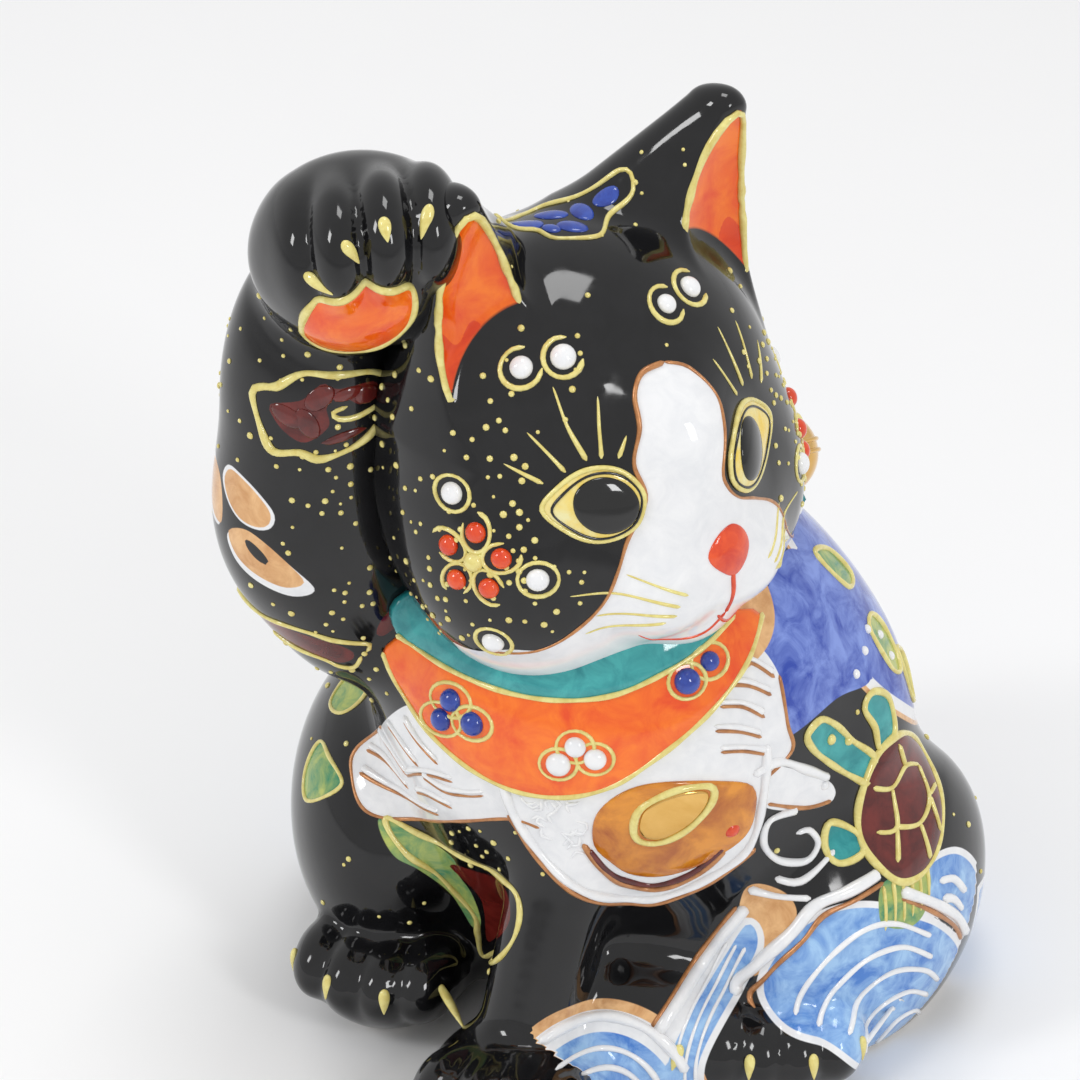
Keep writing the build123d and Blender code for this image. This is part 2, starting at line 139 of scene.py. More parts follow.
def melt(a, b, width):
    """Union of two fields whose crease is filled over a width."""
    h = np.clip(0.5 + 0.5 * (b - a) / width, 0, 1)
    return b * (1 - h) + a * h - width * h * (1 - h)


def carve(a, b, width):
    """Field a with field b cut out of it, the edge rounded over a width."""
    return -melt(-a, b, width)


print("clay fields: egg, horn, melt and carve")

# %% [markdown]
# ## The head's clay
# The skull, two cheeks and a muzzle melt together. Whisker pads, a nose bridge and a chin give the face
# its shape, and each ear is a horn whose front is scooped out with a large shallow egg.

# %% Head field
SKULL = ((0, 0, 0), (34, 31, 36))
CHEEK = ((14, -10.5, -12), (19, 18, 19))
EARS = {
    1: {"root": (18.5, 0, 14), "tip": (25.5, -6, 50), "fin": ((11, 6, 28), (24.5, -2, 49)), "wide": 14.0},
    -1: {"root": (-19.5, 0, 14), "tip": (-26, -6, 50), "fin": ((-12, 6, 28), (-25, -2, 49)), "wide": 14.0},
}
DISH = ((17, 16, 28), 12.0)


def mirrored(points, side):
    return points * np.array([side, 1, 1])


def ear_dish_field(h, side):
    """The shallow egg that scoops the front of an ear."""
    face = np.array([0.204 * side, -0.977, 0.054])
    middle = np.array([24.0 * side - (1.5 if side > 0 else 0), -9.6, 33.0]) + face * DISH[1]
    return egg(h, middle, DISH[0])


def ear_horn_field(h, side):
    ear = EARS[side]
    f = horn(h, ear["root"], ear["tip"], ear["wide"], 3.0)
    return melt(f, horn(h, *ear["fin"], 9.0, 3.0), 5)


def head_field(points):
    h = to_head(points)
    f = egg(h, *SKULL)
    for side in (-1, 1):
        m = mirrored(h, side)
        f = melt(f, egg(m, *CHEEK), 10)
    f = melt(f, egg(h, (0, -24, -9), (15, 12, 12)), 9)
    f = melt(f, egg(h, (0, -24, 3), (8, 10, 15), 0, -14), 9)
    for side in (-1, 1):
        f = melt(f, egg(mirrored(h, side), (6.5, -29.5, -11.5), (9, 8, 7)), 4)
    f = melt(f, egg(h, (0, -27, -18.5), (8, 7.5, 6)), 3)
    f = melt(f, egg(h, (0, -34.3, -5.5), (4.5, 3.2, 3.6)), 2.5)
    for side in (-1, 1):
        f = melt(f, carve(ear_horn_field(h, side), ear_dish_field(h, side), 1.0), 5)
    return f


print("head field ready, ears:", len(EARS))

# %% [markdown]
# ## The body's clay
# Torso, chest, rump and haunches melt together, and the raised arm flows out of the shoulder. Feet are
# cores with four toes each.

# %% Body field
TORSO = ((0, 12, 42), (46, 39, 46))
SHOULDERS = ((-1, 4, 66), (33, 30, 33))
CHEST = ((-2, -8, 62), (34, 28, 34))
RUMP = ((2, 12, 16), (42, 33, 26))
LEFT_HAUNCH = ((37, 8, 19), (20, 31, 28), -16)
RIGHT_HAUNCH = ((-37, 3, 27), (20, 31, 28), 10)
RAISED_PAW = ((-33, -25, 146), (17, 15, 15), 25)
STANDING_PAW = ((-1.5, -44, 8.5), (15, 16, 9.5), 0)
LEFT_FOOT = ((32, -14, 9), (13.5, 17, 10), 20)
RIGHT_FOOT = ((-32, -18, 9), (13.5, 17, 10), -3)
WEB = ((11, -25, 9), (18, 13, 15))
TOE = (5.2, 8.5, 6.5)
BIG_TOE = (5.2, 10.5, 9.0)
RAISED_TOES = [(-39.5, -33, 150), (-33, -34.5, 152.5), (-26.8, -32, 154), (-21.5, -27, 153.5)]


def turned(way, angle):
    c, s = math.cos(math.radians(angle)), math.sin(math.radians(angle))
    return np.array([c * way[0] - s * way[1], s * way[0] + c * way[1], way[2]])


def toe_centres(paw, reach=0.62, rise=0.25, count=4):
    """Middles of the toes, in a fan over the front of a paw."""
    centre, radii, turn = np.array(paw[0], float), paw[1], paw[2]
    found = []
    for i in range(count):
        across = 1.32 * radii[0] * (i / (count - 1) - 0.5)
        curve = 0.28 * (across / radii[0]) ** 2
        way = (across, -radii[1] * (reach - curve), radii[2] * rise)
        found.append(centre + turned(way, turn))
    return found


def paw_field(points, paw, toes, toe=TOE, groove=1.1, join=2.0):
    f = egg(points, *paw)
    fan = None
    for centre in toes:
        one = egg(points, centre, toe, paw[2])
        fan = one if fan is None else melt(fan, one, groove)
    return melt(f, fan, join)


def body_field(points):
    f = melt(egg(points, *TORSO), egg(points, *SHOULDERS), 12)
    f = melt(f, egg(points, *CHEST), 10)
    f = melt(f, egg(points, *RUMP), 10)
    left = melt(egg(points, *LEFT_HAUNCH), paw_field(points, LEFT_FOOT, toe_centres(LEFT_FOOT)), 2.5)
    right = melt(egg(points, *RIGHT_HAUNCH), paw_field(points, RIGHT_FOOT, toe_centres(RIGHT_FOOT)), 2.5)
    f = melt(f, left, 5)
    f = melt(f, right, 5)
    f = melt(f, egg(points, *WEB), 6)
    leg = horn(points, (1, -26, 46), (-3, -38, 14), 8.5, 7.5)
    leg = melt(leg, paw_field(points, STANDING_PAW, toe_centres(STANDING_PAW)), 3)
    f = melt(f, leg, 5)
    arm = melt(egg(points, (-38, -10, 78), (16, 18, 18)), egg(points, (-45, -16, 92), (15, 17, 17)), 12)
    arm = melt(arm, egg(points, (-43, -20, 114), (15, 15, 30)), 12)
    arm = melt(arm, paw_field(points, RAISED_PAW, RAISED_TOES, BIG_TOE, 0.7, 2.8), 5)
    f = melt(f, arm, 7)
    tail = horn(points, (17, 38, 17), (-11, 47, 8), 6.5, 6.5)
    tail = melt(tail, horn(points, (-11, 47, 8), (-37, 24, 10), 6.5, 5), 4)
    f = melt(f, tail, 3)
    f = carve(f, points[:, 2], 1.2)
    well = egg(points * (1, 1, 0), (*DISC_AT, 0), (24.2, 18.2, 10))
    return carve(f, np.maximum(well, points[:, 2] - 1.6), 0.4)


print("body field ready, raised toes:", len(RAISED_TOES))

# %% [markdown]
# ## From field to skin
# Spheres are pushed into the lumps' places, one voxel remesh turns them into an even net of quads, and
# then each point of the net slides along the field's slope until it lies on the blended skin. It is
# what a sculptor's smooth brush does, but it stops exactly at the planned shape.

# %% Skin maker
def settle(mesh, field, points, rounds=4, most=1.5):
    """Points slid along the net's own normals onto the field's skin."""
    normals = np.empty(len(points) * 3, np.float32)
    for _ in range(rounds):
        set_points(mesh, points)
        mesh.vertex_normals.foreach_get("vector", normals)
        step = np.clip(field(points), -most, most)
        points = points - step[:, None] * normals.reshape(-1, 3)
    return points


def lump_mesh(name, lumps, voxel):
    """Spheres pushed into eggs, joined by one voxel remesh. Lumps are (centre, radii, turn)."""
    bm = bmesh.new()
    for centre, radii, turn in lumps:
        place = (
            Matrix.Translation(Vector((np.asarray(centre, float) + SHIFT) * MM))
            @ Matrix.Rotation(math.radians(turn), 4, "Z")
            @ Matrix.Diagonal(Vector([r * MM for r in radii] + [1]))
        )
        bmesh.ops.create_icosphere(bm, subdivisions=4, radius=1, matrix=place)
    mesh = bpy.data.meshes.new(name)
    bm.to_mesh(mesh)
    bm.free()
    piece = bpy.data.objects.new(name, mesh)
    bpy.context.collection.objects.link(piece)
    even_net(piece, voxel)
    return piece


def even_net(piece, voxel):
    """Replace a piece's mesh by an even net of quads round it."""
    name = piece.name
    remesh = piece.modifiers.new("even net", "REMESH")
    remesh.mode = "VOXEL"
    remesh.voxel_size = voxel * MM
    remesh.use_smooth_shade = True
    bpy.context.view_layer.update()
    even = bpy.data.meshes.new_from_object(piece.evaluated_get(bpy.context.evaluated_depsgraph_get()))
    piece.modifiers.clear()
    piece.data = even
    even.name = name


def get_points(mesh):
    """A mesh's points in the maker's millimetres."""
    flat = np.empty(len(mesh.vertices) * 3)
    mesh.vertices.foreach_get("co", flat)
    return flat.reshape(-1, 3) / MM - SHIFT


def set_points(mesh, points):
    mesh.vertices.foreach_set("co", ((points + SHIFT) * MM).ravel())
    mesh.update()


def relax(mesh, points, amount=0.5):
    """Each point pulled towards the middle of its neighbours."""
    pairs = np.empty(len(mesh.edges) * 2, int)
    mesh.edges.foreach_get("vertices", pairs)
    pairs = pairs.reshape(-1, 2)
    total = np.zeros_like(points)
    count = np.zeros(len(points))
    for a, b in ((0, 1), (1, 0)):
        for k in range(3):
            total[:, k] += np.bincount(pairs[:, a], points[pairs[:, b], k], len(points))
        count += np.bincount(pairs[:, a], minlength=len(points))
    return points + amount * (total / np.maximum(count, 1)[:, None] - points)


def make_skin(name, lumps, field, voxel):
    """A smooth skin over a field."""
    piece = lump_mesh(name, lumps, voxel)
    points = get_points(piece.data)
    for _ in range(3):
        points = settle(piece.data, field, points, 3)
        points = relax(piece.data, points)
    set_points(piece.data, points)
    even_net(piece, voxel)
    points = get_points(piece.data)
    for _ in range(3):
        points = relax(piece.data, points)
        points = settle(piece.data, field, points, 2)
    set_points(piece.data, points)
    print(name, len(points), "points, worst miss", round(float(np.abs(field(points)).max()), 3), "mm")
    return piece

# %% [markdown]
# ## The head's skin
# Under the glaze the real head and its ears are one smooth shell. Balls are pushed to the places of the
# skull, the cheeks and the ears, fused by a voxel remesh, and then slid on to the head's field, which gives
# one closed net with even faces and no seams between the lumps.

# %% Head skin
turn = math.degrees(HEAD_TURN)
head_lumps = [(from_head([c])[0], r, turn) for c, r in (
    SKULL, CHEEK, ((-14, -10.5, -12), CHEEK[1]), ((0, -24, -9), (15, 12, 12)), ((0, -30, -12), (12, 8, 8)),
)]
for ear in EARS.values():
    for a, b, thick in ((ear["root"], ear["tip"], ear["wide"]), (*ear["fin"], 9.0)):
        for t in np.linspace(0, 1, 12):
            size = thick * (1 - t) + 3.0 * t
            middle = np.array(a) * (1 - t) + np.array(b) * t
            head_lumps.append((from_head([middle])[0], (size, size, size), turn))
head = make_skin("glazed_head", head_lumps, head_field, 0.6)
print("glazed_head faces:", len(head.data.polygons))

# %% [markdown]
# ## The body's skin
# The body is made in the same way. The raised arm, the feet and the tail are lumps of the same clay, because
# on the real cat the glaze runs over their joints without a break. The toes are added as
# small balls, so that the remesh keeps the grooves between them.

# %% Body skin
body_lumps = [
    (*TORSO, 0), (*SHOULDERS, 0), (*CHEST, 0), (*RUMP, 0), LEFT_HAUNCH, RIGHT_HAUNCH,
    ((-38, -10, 78), (16, 18, 18), 0),
    ((-45, -16, 92), (15, 17, 17), 0),
    ((-43, -20, 114), (15, 15, 30), 0),
    RAISED_PAW, STANDING_PAW, LEFT_FOOT, RIGHT_FOOT, (*WEB, 0),
]
for paw in (STANDING_PAW, LEFT_FOOT, RIGHT_FOOT):
    body_lumps += [(centre, TOE, paw[2]) for centre in toe_centres(paw)]
body_lumps += [(centre, BIG_TOE, RAISED_PAW[2]) for centre in RAISED_TOES]
rods = (
    ((1, -26, 46), (-3, -38, 14), 8.0),
    ((17, 38, 17), (-11, 47, 8), 6.5),
    ((-11, 47, 8), (-37, 24, 10), 5.5),
)
for a, b, r in rods:
    for t in np.linspace(0, 1, 10):
        body_lumps.append((np.array(a) * (1 - t) + np.array(b) * t, (r, r, r), 0))
body = make_skin("glazed_body", body_lumps, body_field, 0.8)
print("glazed_body faces:", len(body.data.polygons))

# %% [markdown]
# ## Drawing on the clay
# The painter works on one patch at a time, holding the cat so that the patch faces up. A *chart* is that
# patch: a point near the skin, the way the skin faces there, and two axes in millimetres. A line drawn in
# a chart is dropped straight onto the skin.

# %% Charts and lines on the skin
def tree_of(*pieces):
    """One search tree over several pieces, in the maker's millimetres."""
    points, faces, start = [], [], 0
    for piece in pieces:
        own = get_points(piece.data)
        points += own.tolist()
        mesh = piece.data
        mesh.calc_loop_triangles()
        flat = np.empty(len(mesh.loop_triangles) * 3, np.int32)
        mesh.loop_triangles.foreach_get("vertices", flat)
        faces += (flat.reshape(-1, 3) + start).tolist()
        start += len(own)
    return BVHTree.FromPolygons(points, faces, all_triangles=True)


HEAD_TREE = tree_of(head)
BODY_TREE = tree_of(body)


def chart(tree, at, normal, on_head=False):
    """A drawing patch: x runs level to the right, y runs up, seen from outside."""
    at, normal = np.array(at, float), np.array(normal, float)
    if on_head:
        at, normal = from_head([at])[0], head_way(normal)
    normal = normal / np.linalg.norm(normal)
    across = np.cross((0, 0, 1), normal)
    across /= np.linalg.norm(across)
    return {"tree": tree, "at": at, "n": normal, "x": across, "y": np.cross(normal, across)}


def lift(c, points, height=0.0, start=14.0):
    """Chart points dropped onto the skin, and the skin's outward directions there."""
    found, ways = [], []
    for x, y in points:
        above = c["at"] + x * c["x"] + y * c["y"] + start * c["n"]
        hit = c["tree"].ray_cast(Vector(above), Vector(-c["n"]))
        if hit[0] is None:
            hit = c["tree"].find_nearest(Vector(above - start * c["n"]))
        way = np.array(hit[1])
        found.append(np.array(hit[0]) + way * height)
        ways.append(way)
    return np.array(found), np.array(ways)


def flow(points, closed=False, step=0.7):
    """A smooth line through a few points, as evenly spaced points."""
    p = [np.array(q, float) for q in points]
    count = len(p)
    made = []
    for i in range(count if closed else count - 1):
        if closed:
            a, b, c, d = p[i - 1], p[i], p[(i + 1) % count], p[(i + 2) % count]
        else:
            a, b, c, d = p[max(i - 1, 0)], p[i], p[i + 1], p[min(i + 2, count - 1)]
        pieces = max(2, int(np.linalg.norm(c - b) / step))
        for k in range(pieces):
            t = k / pieces
            made.append(0.5 * (2 * b + (c - a) * t + (2 * a - 5 * b + 4 * c - d) * t * t
                               + (3 * b - a - 3 * c + d) * t ** 3))
    if not closed:
        made.append(p[-1])
    return np.array(made)


def ring(centre, rx, ry=None, count=14, turn=0.0):
    """Points round an ellipse."""
    ry = rx if ry is None else ry
    a = math.radians(turn)
    made = []
    for i in range(count):
        t = 2 * math.pi * i / count
        x, y = rx * math.cos(t), ry * math.sin(t)
        made.append(
            (centre[0] + x * math.cos(a) - y * math.sin(a),
            centre[1] + x * math.sin(a) + y * math.cos(a)),
        )
    return made


print("charts can be laid on the skins")

# %% [markdown]
# ## Painted fields
# Under the raised lines lie flat washes: orange in the ears, white on the face, blue on the waves. Each
# wash is kept on the skin as a *signed distance* in millimetres, negative inside its outline. A material
# can then switch colour exactly at zero, or paint a border between two distances.

# %% Fields of the washes
def inside_distance(points, outline):
    """Signed distance to a closed outline, negative inside."""
    best = np.full(len(points), 1e9)
    odd = np.zeros(len(points), bool)
    for a, b in zip(outline, np.roll(outline, -1, axis=0)):
        way = b - a
        t = np.clip((points - a) @ way / max(way @ way, 1e-9), 0, 1)
        best = np.minimum(best, np.linalg.norm(points - a - t[:, None] * way, axis=1))
        crosses = (a[1] > points[:, 1]) != (b[1] > points[:, 1])
        where = a[0] + (points[:, 1] - a[1]) * way[0] / (way[1] if abs(way[1]) > 1e-9 else 1e-9)
        odd ^= crosses & (points[:, 0] < where)
    return np.where(odd, -best, best)


class Skin:
    """A glazed skin with its washes."""

    def __init__(self, piece):
        self.piece = piece
        self.points = get_points(piece.data)
        flat = np.empty(len(self.points) * 3, np.float32)
        piece.data.vertex_normals.foreach_get("vector", flat)
        self.normals = flat.reshape(-1, 3)
        self.washes = {}

    def wash(self, name, c, outline, depth=12.0, sharp=False):
        """Add a closed outline of a chart to a wash."""
        closed = np.array(outline, float) if sharp else flow(outline, closed=True)
        d = self.points - c["at"]
        flat = np.stack([d @ c["x"], d @ c["y"]], axis=1)
        low, high = closed.min(axis=0) - 4, closed.max(axis=0) + 4
        near = (np.abs(d @ c["n"]) < depth) & (self.normals @ c["n"] > 0.05)
        near &= (flat > low).all(axis=1) & (flat < high).all(axis=1)
        value = np.full(len(d), 4.0)
        value[near] = np.clip(inside_distance(flat[near], closed), -40, 4)
        self.add(name, value)

    def add(self, name, value):
        old = self.washes.get(name, np.full(len(value), 4.0))
        self.washes[name] = np.minimum(old, value)

    def store(self):
        for name, value in self.washes.items():
            layer = self.piece.data.attributes.new(name, "FLOAT", "POINT")
            layer.data.foreach_set("value", value.astype(np.float32))
        print(self.piece.name, "washes:", ", ".join(self.washes))


on_head = Skin(head)
on_body = Skin(body)
FACE = chart(HEAD_TREE, (0, 0, 0), (0, -1, 0), True)
FACE["at"] = FACE["at"] + FACE["n"] * 30

# %% [markdown]
# ## Trailed enamel and pads
# Raised lines are squeezed from a bag like icing. Each line is a curve with a round section that follows
# the skin, thick where the hand slowed. Pads are domes of enamel inside an outline: a ball is flattened
# onto the skin and spread until its rim follows the outline.

# %% Trails and pads
TRAILS = {}


def trail(
    colour, c, points, thick=0.45, closed=False, height=0.0, taper=(1.0, 1.0), wobble=0.12, pieces=None,
):
    """Note one raised line; thick is its half width in mm."""
    line = flow(points, closed)
    place, _ = lift(c, line, height)
    count = len(place)
    t = np.linspace(0, 1, count)
    width = thick * (taper[0] + (taper[1] - taper[0]) * t)
    phase = 3.1 * len(TRAILS.setdefault(colour, []))
    width = width * (
        1 + wobble * np.sin(t * count * 0.55 + phase) + 0.6 * wobble * np.sin(t * count * 0.23 + 2 * phase)
    )
    if not closed:
        width[[0, -1]] *= 0.3
    TRAILS[colour].append((place, width, closed))


def make_trails(colour, material):
    """All noted lines of one colour as one piece."""
    curve = bpy.data.curves.new("trails_" + colour, "CURVE")
    curve.dimensions = "3D"
    curve.bevel_depth = MM
    curve.bevel_resolution = 2
    curve.use_fill_caps = True
    for place, width, closed in TRAILS[colour]:
        spline = curve.splines.new("POLY")
        spline.points.add(len(place) - 1)
        flat = np.concatenate([(place + SHIFT) * MM, np.ones((len(place), 1))], axis=1)
        spline.points.foreach_set("co", flat.ravel())
        spline.points.foreach_set("radius", width)
        spline.use_cyclic_u = closed
    raw = bpy.data.objects.new("trails", curve)
    bpy.context.collection.objects.link(raw)
    bpy.context.view_layer.update()
    mesh = bpy.data.meshes.new_from_object(raw.evaluated_get(bpy.context.evaluated_depsgraph_get()))
    bpy.data.objects.remove(raw)
    return finish_piece("trails_" + colour, mesh, material)


def finish_piece(name, mesh, material, smooth=True):
    mesh.name = name
    mesh.materials.clear()
    mesh.materials.append(material)
    mesh.polygons.foreach_set("use_smooth", [smooth] * len(mesh.polygons))
    piece = bpy.data.objects.new(name, mesh)
    bpy.context.collection.objects.link(piece)
    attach(piece, "root")
    PIECES.append(piece)
    return piece


PIECES = []


def reach(outline, centre, angle):
    """How far an outline lies from its middle in one direction."""
    d = outline - centre
    turn = np.arctan2(d[:, 1], d[:, 0])
    order = np.argsort(turn)
    return np.interp(angle, turn[order], np.linalg.norm(d, axis=1)[order], period=2 * math.pi)


def add_pad(bm, c, outline, height, plateau=1.0, rings=24, sides=64, sink=0.5):
    """One enamel pad inside an outline. A small plateau makes the top flat."""
    closed = flow(outline, closed=True)
    centre = closed.mean(axis=0)
    made = bmesh.ops.create_uvsphere(bm, u_segments=sides, v_segments=rings, radius=1)["verts"]
    flat, lifts = [], []
    for v in made:
        across = math.hypot(v.co.x, v.co.y)
        spread = reach(closed, centre, math.atan2(v.co.y, v.co.x)) * across
        angle = math.atan2(v.co.y, v.co.x)
        flat.append((centre[0] + spread * math.cos(angle), centre[1] + spread * math.sin(angle)))
        top = abs(v.co.z) ** plateau * height
        lifts.append(top if v.co.z > 0 else -sink * abs(v.co.z))
    place, ways = lift(c, flat)
    for v, p, way, up in zip(made, place, ways, lifts):
        v.co = Vector((p + way * up + SHIFT) * MM)
    return made


def pads(name, material, plans, **shape):
    """Several pads of one colour as one piece. A plan is (chart, outline, height)."""
    bm = bmesh.new()
    for c, outline, height in plans:
        add_pad(bm, c, outline, height, **shape)
    mesh = bpy.data.meshes.new(name)
    bm.to_mesh(mesh)
    bm.free()
    return finish_piece(name, mesh, material)


def drops(name, material, spots, high=0.6, sides=12, rings=8):
    """Round drops of enamel: spots are (point, direction, radius)."""
    bm = bmesh.new()
    for point, way, radius in spots:
        turn = Vector(way).to_track_quat("Z", "Y").to_matrix().to_4x4()
        place = (
            Matrix.Translation(Vector((point + SHIFT) * MM))
            @ turn
            @ Matrix.Diagonal(Vector((radius * MM, radius * MM, radius * high * MM, 1)))
        )
        bmesh.ops.create_uvsphere(bm, u_segments=sides, v_segments=rings, radius=1, matrix=place)
    mesh = bpy.data.meshes.new(name)
    bm.to_mesh(mesh)
    bm.free()
    return finish_piece(name, mesh, material)


def on_chart(c, x, y, radius):
    place, way = lift(c, [(x, y)])
    return place[0], way[0], radius


print("ropes, pads and drops can be laid")

# %% [markdown]
# ## Glazes and enamels
# All the colours share two shader groups: a *brush wash* that varies a colour like thin enamel over white
# porcelain, and an *uneven glaze* that gives the gloss its slow ripples. A group is built once, and each
# glaze places it with its own values.

# %% Shared shader groups
def new_group(name, inputs, outputs):
    g = bpy.data.node_groups.new(name, "ShaderNodeTree")
    for label, kind, value in inputs:
        socket = g.interface.new_socket(label, in_out="INPUT", socket_type=kind)
        socket.default_value = value
    for label, kind in outputs:
        g.interface.new_socket(label, in_out="OUTPUT", socket_type=kind)
    return g, g.nodes.new("NodeGroupInput"), g.nodes.new("NodeGroupOutput")


def noise(g, where, scale, detail=3.0, rough=0.5):
    n = g.nodes.new("ShaderNodeTexNoise")
    n.inputs["Scale"].default_value = scale
    n.inputs["Detail"].default_value = detail
    n.inputs["Roughness"].default_value = rough
    g.links.new(where, n.inputs["Vector"])
    return n.outputs["Fac"]


def spread(g, value, low, high, to_low=0.0, to_high=1.0):
    n = g.nodes.new("ShaderNodeMapRange")
    n.inputs["From Min"].default_value = low
    n.inputs["From Max"].default_value = high
    n.inputs["To Min"].default_value = to_low
    n.inputs["To Max"].default_value = to_high
    g.links.new(value, n.inputs["Value"])
    return n.outputs["Result"]


def blend(g, factor, a, b, kind="MIX"):
    n = g.nodes.new("ShaderNodeMix")
    n.data_type = "RGBA"
    n.blend_type = kind
    for socket, value in ((n.inputs[0], factor), (n.inputs[6], a), (n.inputs[7], b)):
        if isinstance(value, bpy.types.NodeSocket):
            g.links.new(value, socket)
        else:
            socket.default_value = value if socket == n.inputs[0] else (*value, 1)
    return n.outputs[2]


WASH, w_in, w_out = new_group(
    "brush wash",
    [("Thin", "NodeSocketColor", (1, 1, 1, 1)), ("Thick", "NodeSocketColor", (1, 1, 1, 1)),
     ("Size", "NodeSocketFloat", 300.0)],
    [("Color", "NodeSocketColor")],
)
w_at = WASH.nodes.new("ShaderNodeTexCoord").outputs["Object"]
w_noise = WASH.nodes.new("ShaderNodeTexNoise")
w_noise.inputs["Detail"].default_value = 6
w_noise.inputs["Roughness"].default_value = 0.62
w_noise.inputs["Distortion"].default_value = 0.6
WASH.links.new(w_at, w_noise.inputs["Vector"])
WASH.links.new(w_in.outputs["Size"], w_noise.inputs["Scale"])
w_mix = blend(
    WASH, spread(WASH, w_noise.outputs["Fac"], 0.36, 0.66), w_in.outputs["Thin"], w_in.outputs["Thick"],
)
WASH.links.new(w_mix, w_out.inputs["Color"])

RIPPLE, r_in, r_out = new_group(
    "uneven glaze",
    [("Strength", "NodeSocketFloat", 0.05)],
    [("Roughness", "NodeSocketFloat"), ("Normal", "NodeSocketVector")],
)
r_at = RIPPLE.nodes.new("ShaderNodeTexCoord").outputs["Object"]
r_bump = RIPPLE.nodes.new("ShaderNodeBump")
r_bump.inputs["Distance"].default_value = 0.001
RIPPLE.links.new(r_in.outputs["Strength"], r_bump.inputs["Strength"])
RIPPLE.links.new(noise(RIPPLE, r_at, 140, 2), r_bump.inputs["Height"])
RIPPLE.links.new(r_bump.outputs["Normal"], r_out.inputs["Normal"])
RIPPLE.links.new(
    spread(RIPPLE, noise(RIPPLE, r_at, 420, 4), 0.3, 0.75, 0.03, 0.12), r_out.inputs["Roughness"],
)
print("shader groups:", [g.name for g in bpy.data.node_groups])

# %% [markdown]
# ## The colours
# The ground is a black glaze, thin and thick at once in tiny patches. The enamels lie over it, each with its
# thin and its pooled colour. The gilt is the only real metal, and the copper line is only partly metal,
# since it is a gold lustre fired over brown.

# %% Materials
def glaze(name, thin, thick, size=300.0, ripple=0.05, metal=0.0, rough=None, coat=0.3):
    """A fired colour: thin and thick are its light and its deep shade."""
    m = bpy.data.materials.new(name)
    m.use_nodes = True
    g = m.node_tree
    p = g.nodes["Principled BSDF"]
    wash = g.nodes.new("ShaderNodeGroup")
    wash.node_tree = WASH
    wash.inputs["Thin"].default_value = (*thin, 1)
    wash.inputs["Thick"].default_value = (*thick, 1)
    wash.inputs["Size"].default_value = size
    g.links.new(wash.outputs["Color"], p.inputs["Base Color"])
    gloss = g.nodes.new("ShaderNodeGroup")
    gloss.node_tree = RIPPLE
    gloss.inputs["Strength"].default_value = ripple
    g.links.new(gloss.outputs["Normal"], p.inputs["Normal"])
    if rough is None:
        g.links.new(gloss.outputs["Roughness"], p.inputs["Roughness"])
    else:
        p.inputs["Roughness"].default_value = rough
    p.inputs["Metallic"].default_value = metal
    p.inputs["Coat Weight"].default_value = coat
    p.inputs["Coat Roughness"].default_value = 0.03
    return m


BLACK = ((0.0065, 0.0065, 0.0075), (0.003, 0.003, 0.0035))
WHITE = ((0.82, 0.825, 0.835), (0.74, 0.75, 0.77))
CREAM = ((0.80, 0.72, 0.27), (0.66, 0.54, 0.15))
ORANGE = ((0.93, 0.19, 0.008), (0.78, 0.065, 0.003))
TEAL = ((0.05, 0.38, 0.38), (0.010, 0.22, 0.24))
MAROON = ((0.15, 0.016, 0.012), (0.07, 0.006, 0.005))
SEA = ((0.34, 0.55, 0.82), (0.06, 0.20, 0.58))
ROBE = ((0.20, 0.29, 0.70), (0.018, 0.055, 0.38))
GREEN = ((0.46, 0.52, 0.13), (0.03, 0.23, 0.12))
AMBER = ((0.72, 0.27, 0.02), (0.36, 0.075, 0.004))
TAN = ((0.78, 0.47, 0.22), (0.58, 0.29, 0.11))
COPPER = ((0.56, 0.25, 0.09), (0.38, 0.15, 0.05))

cream = glaze("pale yellow trailed enamel", *CREAM, size=500)
white_raised = glaze("white raised enamel", (0.85, 0.85, 0.85), (0.78, 0.79, 0.81), size=400)
red_raised = glaze("red bead enamel", (0.78, 0.085, 0.015), (0.62, 0.035, 0.008))
blue_raised = glaze("blue bead enamel", (0.03, 0.08, 0.42), (0.015, 0.035, 0.26))
copper = glaze("copper gold line", *COPPER, size=600, metal=0.35, rough=0.28)
black_line = glaze("black brush line", *BLACK)
orange_pad = glaze("orange enamel", *ORANGE, size=160)
teal_pad = glaze("teal enamel", *TEAL, size=220)
maroon_pad = glaze("maroon enamel", *MAROON, size=260)
amber_pad = glaze("amber lustre", *AMBER, size=130)
gilt = glaze(
    "polished gilt", (0.80, 0.50, 0.16), (0.66, 0.36, 0.08), size=90, metal=1.0, rough=0.12, coat=0.2,
)
yellow_eye = glaze("yellow of the eye", (0.80, 0.74, 0.38), (0.82, 0.56, 0.03), size=170)
pupil_black = glaze("black of the pupil", (0.003, 0.003, 0.003), (0.002, 0.002, 0.002), ripple=0.0)


def painted(name, layers, ground):
    """A skin's glaze: layers are (wash, edge in mm, thin, thick, size), the last one on top."""
    m = glaze(name, *ground, size=160, coat=0.0)
    g = m.node_tree
    p = g.nodes["Principled BSDF"]
    colour = p.inputs["Base Color"].links[0].from_socket
    for wash_name, edge, thin, thick, size in layers:
        field = g.nodes.new("ShaderNodeAttribute")
        field.attribute_name = wash_name
        wash = g.nodes.new("ShaderNodeGroup")
        wash.node_tree = WASH
        wash.inputs["Thin"].default_value = (*thin, 1)
        wash.inputs["Thick"].default_value = (*thick, 1)
        wash.inputs["Size"].default_value = size
        cover = spread(g, field.outputs["Fac"], edge - 0.07, edge + 0.07, 1.0, 0.0)
        colour = blend(g, cover, colour, wash.outputs["Color"])
    g.links.new(colour, p.inputs["Base Color"])
    return m


print("materials:", len(bpy.data.materials))

